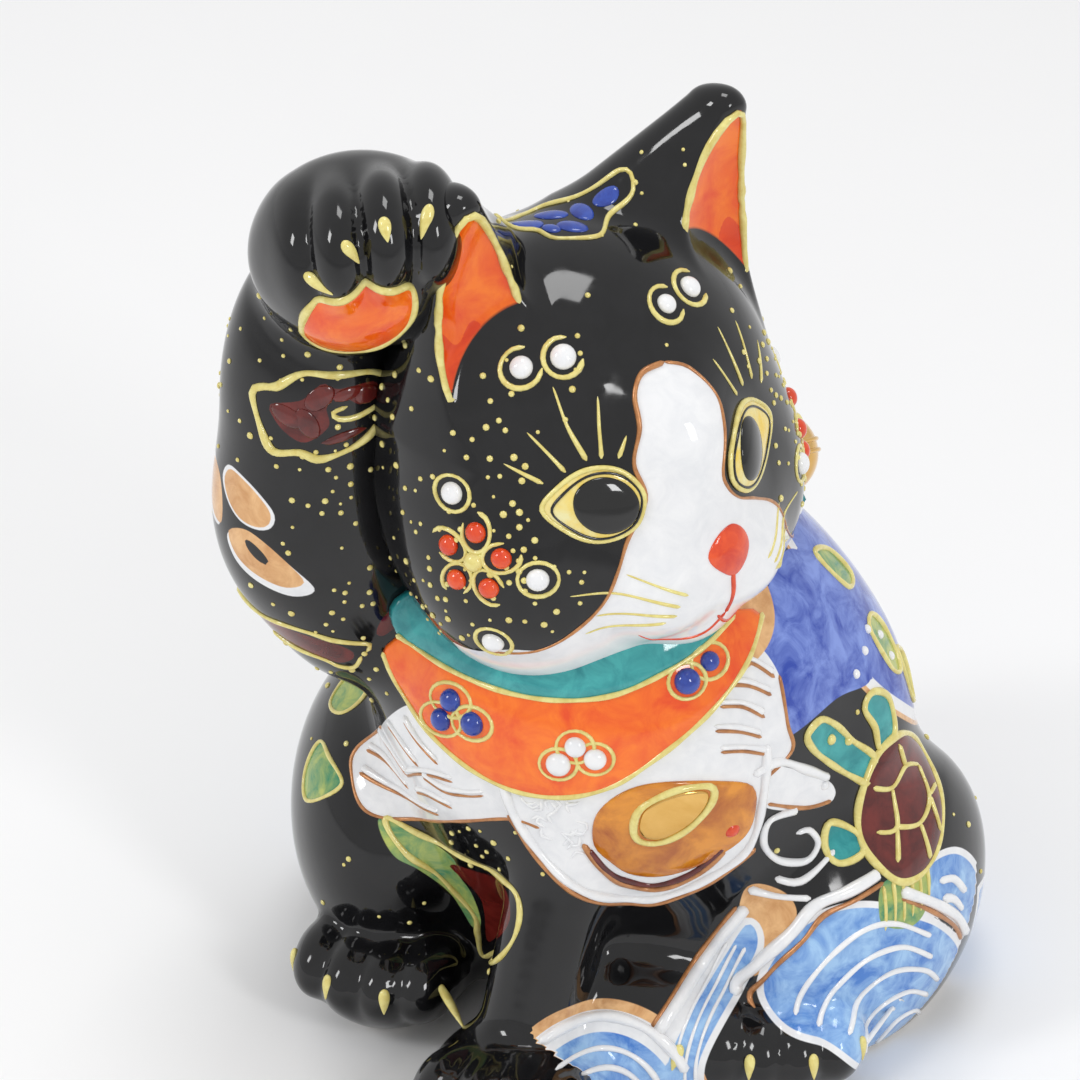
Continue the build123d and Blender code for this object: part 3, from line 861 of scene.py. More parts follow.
# %% [markdown]
# ## The face
# The white of the face is one field: a tongue between the eyes that widens over the muzzle and runs under
# the cheeks. A copper line follows its edge. The mouth and the whiskers are drawn for one side and
# mirrored, but the edge of the white is drawn whole, because the two sides of the real one differ.

# %% Face wash, nose, mouth and whiskers
PATCH = [
    (-1.5, 23.5), (-5.5, 23), (-8, 20.5), (-9, 16.5), (-11, 11.5), (-10.5, 6), (-14, 0), (-16, -4.5),
    (-19.5, -12), (-25, -18), (-30, -20), (-33, -34), (0, -40), (33, -34), (30, -20), (25, -18), (19.5, -12),
    (15, -4.5), (9, 0), (4, 3), (1.5, 6), (1, 9), (3.5, 14.5), (4.5, 18), (2, 22),
]
on_head.wash("white", FACE, PATCH, depth=45)
trail("copper", FACE, PATCH[:11], 0.34, taper=(1.3, 0.6))
trail("copper", FACE, PATCH[14:] + PATCH[:1], 0.3, taper=(0.7, 1.0))

NOSE = [(-3.4, -4.2), (-1.4, -1.4), (1.8, -0.4), (4.4, -2.6), (4.8, -5.4), (1.8, -8.8), (-1.4, -7)]
pads("nose_enamel", red_raised, [(FACE, NOSE, 0.5)], plateau=0.5)
mouth = [(-13.5, -16), (-9.5, -18.8), (-4.5, -20), (-1, -19.3), (1.6, -16.6)]
for side in (1, -1):
    line = [(0.8 + side * (x - 0.8) if side < 0 else x, y) for x, y in mouth]
    trail("red", FACE, line, 0.32, taper=(0.3, 1.0))
trail("red", FACE, [(1.2, -8), (1.5, -12), (1.6, -16.6)], 0.34, wobble=0.2)
WHISKERS = [
    [(-7.5, -9), (-11, -7.2), (-15, -5)], [(-9, -10.5), (-16, -8), (-22.5, -8)],
    [(-9.5, -12), (-15, -11.2), (-19, -12)], [(-11, -13), (-15.5, -13.6), (-20, -15.5)],
]
LASHES = [
    [(-17, 12.5), (-18.2, 17.5), (-18, 22.5)], [(-15, 12.6), (-14.2, 17), (-13, 21)],
    [(-12.8, 12.4), (-11, 15.5)],
    [(-20, 11), (-23, 16.5)], [(-23, 9.4), (-26.5, 11.8)],
]
for line in WHISKERS:
    for side in (1, -1):
        trail("cream", FACE, [(x * side + (1 - side) * 0.6, y) for x, y in line], 0.26, taper=(1.1, 0.5))
for line in LASHES:
    trail("cream", FACE, line, 0.42, taper=(1.1, 0.3))
for line in (
    [(10, 15), (7.5, 21)], [(12.5, 15), (11.5, 23.5)], [(15.5, 14.5), (16.5, 22)], [(18, 12.5), (21, 17)],
):
    trail("cream", FACE, line, 0.36, taper=(1.0, 0.3))
print("ropes so far:", sum(len(lines) for lines in TRAILS.values()))

# %% [markdown]
# ## The eyes
# Each eye is a yellow pad with a black, domed pupil on it. A pale rope lies over the edge of the pad as its
# rim, and a fine black line runs inside the rim.

# %% Eyes
EYES = {
    "right": [(-24, 5.6), (-21.5, 8.8), (-18, 11), (-14.5, 11.2), (-12, 9.8), (-10.6, 6.8), (-12, 2.8),
        (-15, 0.8), (-18.5, 0.6), (-21.6, 2.4)],
    "left": [(2.6, 6.4), (3, 10.5), (6.5, 13), (11, 13.4), (15, 11.4), (18, 7.5), (15, 3.8), (10.5, 2.2),
        (6, 3)],
}
PUPILS = {"right": ring((-16.2, 6), 4.5, 4.3), "left": ring((8.8, 8.2), 3.9, 4.4)}
for side, outline in EYES.items():
    eye = pads(side + "_eye_enamel", yellow_eye, [(FACE, outline, 1.1)], plateau=0.8)
    over = dict(FACE)
    over["tree"] = tree_of(eye)
    pads(side + "_pupil_enamel", pupil_black, [(over, PUPILS[side], 0.9)], plateau=0.9)
    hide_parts(side + "_eye")
    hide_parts(side + "_pupil")
    trail("cream", FACE, outline, 0.42, closed=True, height=0.25, wobble=0.06)
    middle = np.mean(outline, axis=0)
    trail("black", over, [tuple(middle + 0.9 * (np.array(q) - middle)) for q in outline], 0.22, closed=True)
print("ropes with the eyes:", sum(len(lines) for lines in TRAILS.values()))

# %% [markdown]
# ## Ears
# The dish of each ear is painted orange and edged with a pale yellow rope. The rim is where the scooping egg
# leaves the ear's horn, so it is found by walking out from the middle of the dish until the horn ends, and
# the rope is laid on those points.

# %% Ears
for side in (-1, 1):
    h = to_head(on_head.points)
    dish = np.abs(ear_dish_field(h, side)) - 0.45
    field = np.maximum(np.maximum(dish, ear_horn_field(h, side) + 0.5), 0.5 - egg(h, *SKULL))
    on_head.add("orange", np.clip(field, -4, 4))
    face = np.array([0.204 * side, -0.977, 0.054])
    middle = np.array([24.0 * side - (1.5 if side > 0 else 0), -9.6, 33.0]) + face * DISH[1]
    across = np.cross((0, 0, 1), -face)
    across /= np.linalg.norm(across)
    rise = np.cross(-face, across)
    start = middle - face * DISH[1]
    rim = []
    for t in np.linspace(0, 2 * math.pi, 72, endpoint=False):
        last = start
        for s in np.arange(0.5, 34, 0.35):
            q = (start + s * (math.cos(t) * across + math.sin(t) * rise))[None]
            for _ in range(5):
                q = q - ear_dish_field(q, side)[:, None] * (-face)[None]
            if max(ear_horn_field(q, side)[0] + 0.25, 0.3 - egg(q, *SKULL)[0]) > 0:
                break
            last = q[0]
        rim.append(last)
    rim = from_head(np.array(rim))
    rim = (np.roll(rim, 1, axis=0) + 2 * rim + np.roll(rim, -1, axis=0)) / 4
    t = np.linspace(0, 6 * math.pi, len(rim))
    TRAILS["cream"].append((rim, 0.62 + 0.1 * np.sin(3 * t), True))
    low = to_head(on_head.points)
    on_head.add("orangered", np.clip(np.maximum(field, low[:, 2] - 29 - 1.5 * np.sin(low[:, 0])), -4, 4))
print("ropes with the ears:", sum(len(lines) for lines in TRAILS.values()))

# %% [markdown]
# ## Beads, flower and brow drops
# Beads are drops of thick enamel. Each white bead sits inside a small loop of the pale yellow trail, and
# the cheek flower is five red beads round a yellow one, each with its own loop for a petal.

# %% Beads of the head
CHEEK = chart(HEAD_TREE, (-30, -18, -6), (-0.84, -0.54, 0.04), True)
CHEEK_LEFT = chart(HEAD_TREE, (30, -18, -6), (0.84, -0.54, 0.04), True)
BROW = chart(HEAD_TREE, (-5, -16, 27), (-0.17, -0.63, 0.76), True)
whites, reds, yellows = [], [], []
for x, y, r in ((-15.5, -2.5, 1.8), (-9.5, -3, 2.0), (9, 1.5, 1.6), (14.5, 4, 1.8)):
    whites.append(on_chart(BROW, x, y, r))
    loop = [(x + 2.9 * math.cos(a), y + 3.1 * math.sin(a)) for a in np.linspace(1.1, 5.9, 9)]
    trail("cream", BROW, loop, 0.42)
for side, c in ((1, CHEEK), (-1, CHEEK_LEFT)):
    for x, y in ((-7, 12), (7.5, 1), (0.5, -11.5)):
        whites.append(on_chart(c, side * x, y, 1.8))
        trail("cream", c, ring((side * x, y), 3.0, 2.8, 10), 0.34, closed=True)
    for i in range(5):
        a = math.radians(90 + 72 * i)
        x, y = side * (-2.5) + 4.6 * math.cos(a), 2.5 + 4.6 * math.sin(a)
        reds.append(on_chart(c, x, y, 1.65))
        petal = ring((x, y), 3.1, 2.3, 10, math.degrees(a))
        trail("cream", c, petal[2:] + petal[:1], 0.36)
    yellows.append(on_chart(c, side * (-2.5), 2.5, 1.6))

CLOUD = chart(HEAD_TREE, (2, 2, 37), (-0.16, -0.06, 0.99), True)
trail(
    "cream", CLOUD, [(-6, -12), (-8, -5), (-7.5, 1), (-2.5, 4.5), (3, 9.5), (6, 8), (4.5, 3), (6, -3),
    (1, -7), (-3, -7)], 0.42, closed=True,
)
crown_blobs = [(CLOUD, ring(at, rx, ry, 10, turn), 0.45) for at, rx, ry, turn in (
    ((-4.5, -6), 2.6, 1.6, 60), ((-3.5, -1), 2.8, 1.5, 20), ((0.5, 1.5), 2.6, 1.6, -30),
    ((2.5, 5.5), 2.2, 1.5, 50), ((1.5, -3), 2.6, 1.5, 10), ((-1, -5), 1.6, 1.1, 0),
)]
pads("head_cloud", blue_raised, crown_blobs, rings=10, sides=24)
print("head beads:", len(whites), "white,", len(reds), "red,", len(yellows), "yellow")

# %% [markdown]
# ## Scarf, bib and bell
# The teal scarf is a band tucked under the chin, rolled round behind the neck where the bell hangs. The
# orange bib lies on the chest below it. Both carry a pale yellow edge, and the bib has small groups of beads.

# %% Scarf and bib
BIB = chart(BODY_TREE, (2, -27, 71), (0.38, -0.87, 0.33))
BIB_EDGE = [
    (-29.5, 8.5), (-26.5, 2), (-21, -5), (-13, -10.2), (-4.5, -11.8), (4, -10), (12, -4.8), (20, 1.5),
    (26, 8), (29, 14.5), (22, 16), (8, 15), (-8, 14), (-22, 13),
]
bib = pads("bib_enamel", orange_pad, [(BIB, BIB_EDGE, 1.3)], plateau=0.28, sides=120)
trail("cream", BIB, BIB_EDGE[:10], 0.5, height=0.6)
SCARF_LOW = [(-27.5, 12), (-21, 8.2), (-12, 5.4), (-3.5, 4.4), (5, 5.2), (12.5, 8), (18.5, 11), (24, 15)]
SCARF = SCARF_LOW + [(24, 22), (12, 24), (0, 22), (-14, 21), (-27, 18)]
scarf = pads("scarf_band", teal_pad, [(BIB, SCARF, 2.4)], plateau=0.35, sides=120)
trail("cream", BIB, SCARF_LOW, 0.45, height=1.4)

NECK_AT, NECK_TILT = np.array([-5, 1, 86.0]), math.radians(14)


def neck_line(angles, out, lift_by=0.0):
    """Points of the collar's tilted line, on the skin or out mm off it."""
    made = []
    for a in angles:
        way = np.array([math.cos(a), math.sin(a) * math.cos(NECK_TILT), math.sin(a) * math.sin(NECK_TILT)])
        far = NECK_AT + way * 60
        hits = [tree.ray_cast(Vector(far), Vector(-way)) for tree in (HEAD_TREE, BODY_TREE)]
        hit = min((h for h in hits if h[0] is not None), key=lambda h: h[3])
        made.append(np.array(hit[0]) + way * out + (0, 0, lift_by))
    return np.array(made)


behind = neck_line(np.radians(np.arange(26, 186, 4)), 0.2)
behind[1:-1] = (behind[:-2] + 2 * behind[1:-1] + behind[2:]) / 4
behind = np.vstack([behind, behind[-1] + (5, -7, 0)])
TRAILS["teal"] = [(behind, np.full(len(behind), 3.2), False)]
for up in (2.8, -2.8):
    TRAILS["cream"].append((behind + (0, 0, up), np.full(len(behind), 0.5), False))


def skin_under(c, pieces):
    """The same chart, but its lines land on the top of pieces that were made before."""
    over = dict(c)
    over["tree"] = tree_of(*pieces)
    return over


ON_BIB = skin_under(BIB, [bib])
blues = []
for x, y, r in ((-19.5, 2.6, 1.9), (-21, -0.9, 1.9), (-16.4, -0.6, 2.0), (16.5, 6.8, 2.1), (20.2, 9.4, 1.6)):
    blues.append(on_chart(ON_BIB, x, y, r))
    trail("cream", ON_BIB, ring((x, y), 3.0, 2.8, 10), 0.34, closed=True)
for x, y, r in ((-1, -3, 1.7), (-3.6, -6, 2.0), (2, -5, 1.8)):
    whites.append(on_chart(ON_BIB, x, y, r))
    trail("cream", ON_BIB, ring((x, y), 2.9, 2.7, 10), 0.3, closed=True)
print("beads on the bib:", len(blues), "blue")

# %% [markdown]
# ## Bell
# The bell is a gilded ball with a slot and a pair of raised hoops round its waist. A sphere loses the faces
# along its slot and gets a wall from Solidify. It hangs on the collar behind the cat's left cheek, so it is
# turned before it is moved there.

# %% Bell
BELL_AT = np.array([16, 31.5, 87.0])
bm = bmesh.new()
bmesh.ops.create_uvsphere(bm, u_segments=72, v_segments=36, radius=7.2 * MM)
lost = [
    f for f in bm.faces if f.calc_center_median().z < 0.5 * MM and abs(f.calc_center_median().y) < 0.62 * MM
]
bmesh.ops.delete(bm, geom=lost, context="FACES")
BELL_TURN = Matrix.Rotation(math.radians(-48), 4, "Z") @ Matrix.Rotation(math.radians(-35), 4, "Y")
bmesh.ops.transform(
    bm, matrix=Matrix.Translation(Vector((BELL_AT + SHIFT) * MM)) @ BELL_TURN, verts=bm.verts,
)
mesh = bpy.data.meshes.new("gilt_bell")
bm.to_mesh(mesh)
bm.free()
bell = finish_piece("gilt_bell", mesh, gilt)
wall = bell.modifiers.new("bell wall", "SOLIDIFY")
wall.thickness = 0.9 * MM
wall.offset = -1
for height in (0.9, -0.9):
    hoop = [
        BELL_TURN @ Vector((7.2 * math.cos(a), 7.2 * math.sin(a), height)) for a in np.linspace(0, 6.283,
        60, endpoint=False)
    ]
    TRAILS.setdefault("gilt", []).append(
        (np.array([tuple(q) for q in hoop]) + BELL_AT, np.full(60, 0.42), True),
    )
print("bell faces:", len(bell.data.polygons))

# %% [markdown]
# ## The raised paw
# The palm pad is a ring of yellow round orange enamel, and each toe ends in a drop-shaped claw.

# %% Palm pad and claws
PALM = chart(BODY_TREE, (-28, -37, 143), (0.43, -0.66, -0.61))
PAD = [(-8.5, -6), (-8, 1), (-3.5, 6.5), (2.5, 8), (6.5, 5), (6.8, 0), (3.5, -5), (-2, -9.5), (-6, -9.8)]
pads("palm_enamel", orange_pad, [(PALM, PAD, 1.0)], plateau=0.6)
trail("cream", PALM, PAD, 0.75, closed=True)


def add_claw(bm, c, start, end, wide=1.2):
    """A ball drawn out into a drop: round at the start and thin at the end, lying on the skin."""
    (head, tail), ways = lift(c, [start, end])
    along = tail - head
    out = ways[0] - along * np.dot(ways[0], along) / np.dot(along, along)
    out = out / np.linalg.norm(out)
    across = np.cross(out, along / np.linalg.norm(along))
    for v in bmesh.ops.create_uvsphere(bm, u_segments=20, v_segments=14, radius=1)["verts"]:
        x, y, z = v.co
        share = 0.5 + 0.5 * z
        slim = wide * (1 - 0.72 * share ** 1.5)
        point = head + along * (1.3 * share - 0.2) + across * x * slim + out * (y * slim * 0.75 + 0.1)
        v.co = Vector((point + SHIFT) * MM)


bm = bmesh.new()
PAW_FRONT = chart(BODY_TREE, (-30, -33, 151), (0.26, -0.8, 0.54))
for start, end in (
    ((-7.2, -4.4), (-3.8, -6.9)), ((-1.6, 0), (0.2, -2.4)), ((4, 3.5), (4.6, 0.6)),
    ((10.4, 5.4), (9.4, 1.4)),
):
    add_claw(bm, PAW_FRONT, start, end)
for paw in (STANDING_PAW, LEFT_FOOT, RIGHT_FOOT):
    for centre in toe_centres(paw):
        way = centre - np.array(paw[0])
        way = way / np.linalg.norm(way) * (1, 1, 0) + np.array((0, 0, 0.25))
        add_claw(bm, chart(BODY_TREE, centre, way), (0, 0.8), (0, -2.8))
claw_mesh = bpy.data.meshes.new("claw_enamel")
bmesh.ops.recalc_face_normals(bm, faces=bm.faces)
bm.to_mesh(claw_mesh)
bm.free()
claws = finish_piece("claw_enamel", claw_mesh, cream)
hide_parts("claws")
print("claw faces:", len(claws.data.polygons))

# %% [markdown]
# ## Painted and trailed motifs of the body
# A maroon cloud on the arm, tan petals behind it, white feathers either side of the bib, a white panel
# with an amber oval on the belly, a turtle on the flank and sea waves over the haunch.

# %% Arm motifs
MOON = chart(BODY_TREE, (-38, -32, 121), (0.18, -0.97, 0.14))
trail(
    "cream", MOON, [(-6, 4), (-2, 6.5), (2.5, 6.2), (8, 5.6), (10.3, 2), (7.5, -4.5), (1, -7.6),
    (-2.5, -6.6), (-6.5, -7), (-8.4, -4), (-10, 2), (-8, 3.6)], 0.62, closed=True, wobble=0.2,
)
trail("cream", MOON, [(9.4, 0.6), (6, -0.9), (3.4, -0.9), (2.6, 0.2), (4.6, 1.0)], 0.45)
CLOUD_A = [
    (-7, 1), (-2, 2.3), (1, 5), (3, 4), (8, 4.2), (8.6, 2), (6.3, 1), (3.6, 3), (1.6, 1.2), (2, -2),
    (-1.5, -4.8), (-4.5, -3.5), (-6.6, -1),
]
arm_blobs = []
for blob in (
    ring((-4.3, -0.6), 2.9, 1.5, 10, -30), ring((-1.2, -1.6), 2.8, 1.6, 10, -60),
    ring((0.6, 2.6), 2.6, 1.7, 10, 40), ring((4.6, 3.0), 2.2, 1.0, 10, 15),
    ring((7.2, 2.4), 1.6, 1.5, 10, 0), ring((4, -4), 3.6, 0.7, 10, 18),
):
    arm_blobs.append((MOON, blob, 0.4))
pads("arm_cloud", maroon_pad, arm_blobs, rings=10, sides=24)
on_body.wash("maroon", MOON, CLOUD_A)
PETALS_AT = chart(BODY_TREE, (-49, -34, 103), (-0.36, -0.93, 0.07))
for petal in (
    [(-6, 2), (-4, 4.6), (0.5, 3.5), (4, 0.5), (4, -2), (2, -3.2), (-1.5, -3), (-4.5, -1)],
    [(-4.5, -6.5), (-0.5, -4.5), (3.5, -5.8), (7, -9), (8.5, -12), (6, -13.5), (2.5, -13), (-1.5, -11.5),
    (-3.8, -9.5)],
    [(-8, 2), (-6.4, -2), (-7, -6.5), (-11, -6), (-13.5, -1.5), (-11.5, 2.5)],
):
    on_body.wash("white", PETALS_AT, [(x * 1.12 + 0.1, y * 1.12) for x, y in petal])
    on_body.wash("tan", PETALS_AT, petal)
on_body.wash("hole", PETALS_AT, ring((1.5, -8), 2.6, 1.1, 10, -38))
BAND = chart(BODY_TREE, (-40, -30, 78), (0.06, -0.92, -0.39))
on_body.wash("maroon", BAND, [(-14, 0), (-5.5, 1), (2.5, -1), (5.5, -4), (3, -6.5), (-3, -5), (-11, -4)])
trail(
    "cream", BAND, [(-15, 0.4), (-10.5, 0.9), (-5.5, 2), (-1, 1.5), (2.5, 0), (5.5, -1), (8, -2),
    (7.4, -3.6)], 0.42,
)
trail("cream", BAND, [(-9, -5.4), (-0.5, -6), (2.5, -7.6), (5, -7.6), (6.5, -4.6)], 0.4)
ARMPIT = chart(BODY_TREE, (-29, -26, 81), (0.5, -0.86, -0.06))
on_body.wash("maroon", ARMPIT, [(-2.5, -2), (-1.5, 0.8), (1, 2.8), (2.8, 1.5), (0.8, -1), (-1.5, -2.8)])
print("blobs in the arm cloud:", len(arm_blobs))

# %% [markdown]
# ## Feathers and belly panel
# White feathers spread from both sides of the bib, each one a raised white stroke with a copper line beside
# it. Below them a white panel carries an amber oval and a gilt drop. The strokes are ropes on the skin and
# the oval is a pad, because raised enamel stands up and catches the light at its edges.

# %% Feathers and belly panel
FEATHER_L = chart(BODY_TREE, (-23, -28, 53), (-0.35, -0.92, 0.2))
WING_L = [
    (-3, 13), (-13, 3), (-19, -4), (-17.5, -8), (-12.5, -12), (-5, -11), (8, -4), (18, 1), (23, 1),
    (20, 8), (10, 12), (2, 14),
]
on_body.wash("white", FEATHER_L, WING_L)
for line in (
    [(-14, 1), (-9, 0.6), (-4, -1.2)], [(-17, -3.6), (-11, -3.4), (-5, -4.6)],
    [(-16.5, -7), (-10, -7.6), (-3, -7), (3, -5.4)],
    [(-9, 6), (-5, 5), (0, 3)], [(-3.5, 10), (1, 7.5), (5, 6)], [(1, 1.5), (6, 1.2), (11, 2.6), (14, 4)],
    [(-4, -1.2), (-1, 1), (3.5, 3), (8, 4)], [(-2, -3.4), (2, -2), (7, -1.8)],
):
    trail("white", FEATHER_L, [(x, y + 0.9) for x, y in line], 0.62, taper=(1.0, 0.6))
    trail("copper", FEATHER_L, line, 0.34, taper=(1.0, 0.6))
trail("copper", FEATHER_L, WING_L[1:9], 0.3)
PANEL = chart(BODY_TREE, (12, -30, 53), (0.41, -0.91, -0.07))
PLAQUE = [
    (-20, 9), (-18, 2), (-13, -5.5), (-5, -12), (3, -15.3), (12, -11.5), (19, -6), (21, 4), (21.5, 13),
    (15, 20), (0, 20), (-12, 15),
]
on_body.wash("white", PANEL, PLAQUE)
trail("white", PANEL, PLAQUE[:9], 0.8)
trail("copper", PANEL, [(x * 1.06, y * 1.07 - 0.3) for x, y in PLAQUE[1:7]], 0.45)
AMBER_EDGE = [
    (-6, -1), (-6, 4.5), (-3.6, 8.5), (0.5, 11), (6, 11.4), (13, 10), (19, 7), (19.8, 2), (18, -3.4),
    (11, -7.3), (5, -9), (0, -8), (-3.6, -4.4),
]
pads("belly_oval", amber_pad, [(PANEL, AMBER_EDGE, 0.8)], plateau=0.5)
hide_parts("amber_jewel")
AMBER_TOP = skin_under(PANEL, [bpy.data.objects["belly_oval"]])
RING = [(0, 3.4), (1.2, 7.4), (6.3, 10), (12, 9.6), (12.4, 6.8), (9, 2.6), (4.4, 0), (1, 0.6)]
pads(
    "belly_gold", gilt, [(AMBER_TOP, [(x * 0.86 + 0.9, y * 0.86 + 0.8) for x, y in RING], 0.5)],
    plateau=0.6,
)
trail("cream", AMBER_TOP, RING, 0.62, closed=True)
trail(
    "maroon", PANEL, [(-6.8, -2), (-4, -6.4), (-1, -9.4), (4, -11.4), (10, -9), (14.6, -4)], 0.7,
    taper=(0.7, 0.9),
)
trail("copper", PANEL, [(-7.6, -1), (-4.8, -6), (-1, -10.4), (4, -12.6), (10.4, -10), (15, -5)], 0.55)
reds.append(on_chart(PANEL, 15.8, -0.6, 1.5))
rng = np.random.default_rng(5)
for _ in range(26):
    y = rng.uniform(-4, 11)
    x = rng.uniform(-16 + max(0, 4 - y) * 0.75, -8)
    a = rng.uniform(0, 6.28)
    trail(
        "white", PANEL, [(x + 1.3 * math.cos(a + k), y + 1.3 * math.sin(a + k)) for k in (0, 1.4, 2.8)],
        0.3,
    )
FEATHER_R = chart(BODY_TREE, (28, -20, 71), (0.78, -0.57, 0.27))
WING_R = [
    (-9, 2), (-4.5, 7), (-1, 11), (4, 11), (7, 5), (7, -3), (7.5, -8), (1.5, -11), (-5, -13), (-11, -6),
]
on_body.wash("white", FEATHER_R, WING_R)
on_body.wash("tan", FEATHER_R, [(-6, 9), (4, 9), (10, 14), (10, 24), (4, 31), (-5, 26)])
for line in (
    [(-5, 4), (-1, 2.6), (2.6, -0.4)], [(-3.5, 7), (0.6, 5.6), (4.6, 2.6)], [(-1, 10), (2.6, 8.4), (6, 5)],
    [(-6.5, 0.4), (-2.5, -1), (1.5, -3.4)], [(-6, -3.4), (-2, -4.6), (3, -7)],
):
    trail("white", FEATHER_R, [(x, y + 0.8) for x, y in line], 0.6, taper=(0.7, 1.0))
    trail("copper", FEATHER_R, line, 0.32)
for y in (15, 18, 21, 24):
    trail("white", FEATHER_R, [(-2, y - 1), (1.5, y + 0.6), (5.5, y)], 0.3)
trail("copper", FEATHER_R, WING_R[4:8], 0.34)
print("white ropes:", len(TRAILS["white"]))

# %% [markdown]
# ## Turtle
# The turtle on the cat's left flank has a raised maroon shell with a pale yellow net, teal flippers and a
# green tail. The shell is a pad, and its net is drawn on a chart that lands on the top of that pad, so the
# ropes climb over the shell and do not sink into it.

# %% Turtle, band and swirls on the flank
SIDE = chart(BODY_TREE, (34, -15, 55), (0.83, -0.56, 0.05))
on_body.wash("white", SIDE, [(-8, 6.5), (-4, 7), (7.5, -1), (8.4, -5), (2.5, -4.4), (-6, 0)])
trail("white", SIDE, [(-8, 6.8), (-3, 7.2), (3, 3), (7.6, -0.6)], 0.8)
trail("copper", SIDE, [(-5, 0), (2.5, -4), (8, -5)], 0.36)
SHELL = [
    (18.5, -2), (24, -1.6), (29, -4), (33, -9), (33, -14), (29, -18.6), (23, -21.5), (17, -21), (13, -16),
    (12.6, -11), (14.6, -6),
]
pads("turtle_shell_enamel", maroon_pad, [(SIDE, SHELL, 1.5)], plateau=0.8)
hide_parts("turtle_shell")
SHELL_TOP = skin_under(SIDE, [bpy.data.objects["turtle_shell_enamel"]])
trail("cream", SIDE, SHELL, 0.75, closed=True)
for line in (
    [(16.5, -6), (20.5, -7.6), (25, -6.4), (29, -8.4)], [(15, -12.5), (19, -13), (20.5, -7.6)],
    [(19, -13), (24, -14.4), (28.6, -12.6), (29, -8.4)],
    [(24, -14.4), (24, -20)], [(17, -17.6), (19, -13)], [(28.6, -12.6), (32, -12.8)],
    [(25, -6.4), (24.6, -2.6)], [(28.4, -17.8), (28.6, -12.6)],
):
    trail("cream", SHELL_TOP, line, 0.42)
FLIPPERS = (
    [(3.5, 9), (7, 10), (10.5, 7.4), (14, 3), (18.4, -2), (16.6, -5.4), (12.6, -2.5), (8, 2), (4.6, 6)],
    [(18, 6.5), (21, 7.6), (25, 4.6), (24.6, -1), (20, -1.2), (19.6, 2.6)],
    [(7.5, -8.8), (6, -12.4), (7.4, -15.4), (12, -15), (12, -12)],
)
for flipper in FLIPPERS:
    on_body.wash("teal", SIDE, flipper)
    trail("cream", SIDE, flipper, 0.62, closed=True)
TAIL_FRINGE = [(14, -20), (11.5, -25), (13.5, -27.5), (18, -29), (21.5, -27.5), (23.5, -22)]
on_body.wash("green", SIDE, TAIL_FRINGE)
for i in range(6):
    x = 13 + 2.0 * i
    trail("cream", SIDE, [(x + 0.6, -20.5), (x, -24), (x - 0.8, -27.4)], 0.42, taper=(1.0, 0.5))
for line in (
    [(1, -3.6), (-4.4, -3.6), (-5, -8), (-2, -12.6), (2.5, -14), (5, -11.5), (3.4, -8.6), (1, -8.4)],
    [(-2.5, -16), (1, -17), (7.4, -13.4)], [(-6.5, -17.4), (-3, -19), (1.6, -19.6)],
):
    trail("white", SIDE, line, 0.8, taper=(0.9, 0.7))
for x, y in ((13, 3.6), (9, 5.6)):
    yellows.append(on_chart(SIDE, x, y, 0.9))
for x, y in ((6.8, -1.6), (18, 12), (22, 13.5), (25, 15), (28.6, 12), (30, 8)):
    whites.append(on_chart(SIDE, x, y, 0.8))
print("yellow ropes:", len(TRAILS["cream"]))

# %% [markdown]
# ## Waves
# The sea is a light blue wash that ends in a white rim, with white arcs for the crests. Each patch has its
# own chart, turned to face that part of the body, as a painter turns the cat in the hand.

# %% Waves over the haunch, between the legs and behind
HAUNCH = chart(BODY_TREE, (42, -16, 25), (0.42, -0.79, 0.45))
WAVE = [
    (-11.5, -4), (-9.5, 1.5), (-5, 6), (1, 8), (7, 7.6), (13, 5), (19, 1.6), (24, -4), (27, -12),
    (25, -20), (16, -25), (6, -20), (-2, -13), (-9, -9.5),
]
on_body.wash("sea", HAUNCH, WAVE, depth=18)
for line in (
    [(-7, -8.5), (-4.6, -3.5), (0, 1.4), (5.5, 4.4), (11, 4.2), (17.5, 0.6)],
    [(-3.6, -10.5), (0, -5), (5.5, -0.8), (12, 0), (18, -3.4)],
    [(1, -12), (5, -6.6), (10.5, -4), (16.5, -5.4), (20, -8.6)],
    [(4, -14.5), (8.4, -10), (13.6, -8.6), (18, -10.8)],
    [(9, -18), (12, -14), (16, -13.4), (18.6, -16.5)], [(13, -20), (15.4, -17.4), (17.4, -19)],
):
    trail("white", HAUNCH, line, 0.5, wobble=0.08)
on_body.wash(
    "sea", HAUNCH, [(17.5, 12), (23, 13), (27.5, 9), (30, 1), (28, -5), (22, 3), (16.5, 6)], depth=18,
)
for line in ([(19.5, 9.4), (22.5, 9), (25, 6)], [(20, 6.4), (22.4, 5.6), (24.4, 3)]):
    trail("white", HAUNCH, line, 0.7)
trail(
    "white", SIDE, [(13.5, -18.5), (7.5, -19.5), (2, -20.6), (-2, -24), (-6.5, -29), (-10, -36)], 1.1,
    wobble=0.06,
)
trail("copper", SIDE, [(13.8, -20), (8, -21), (2.6, -22.2), (-1, -25.4), (-5.4, -30), (-9, -37)], 0.45)
trail("white", HAUNCH, [(12, 9.5), (18, 6.2), (23, 2.4), (25.4, -1.5)], 1.0, wobble=0.06)
trail("copper", HAUNCH, [(12, 8.2), (17.6, 4.9), (22.4, 1), (24.6, -2.5)], 0.42)
FAN = chart(BODY_TREE, (22, -20, 24), (-0.02, -1.0, 0.08))
on_body.wash(
    "white", FAN, [(8, 10), (3, 4), (0, -2), (-3.6, -10), (-4, -22), (3, -22), (4, -12), (8, 0), (12, 8)],
    depth=20,
)
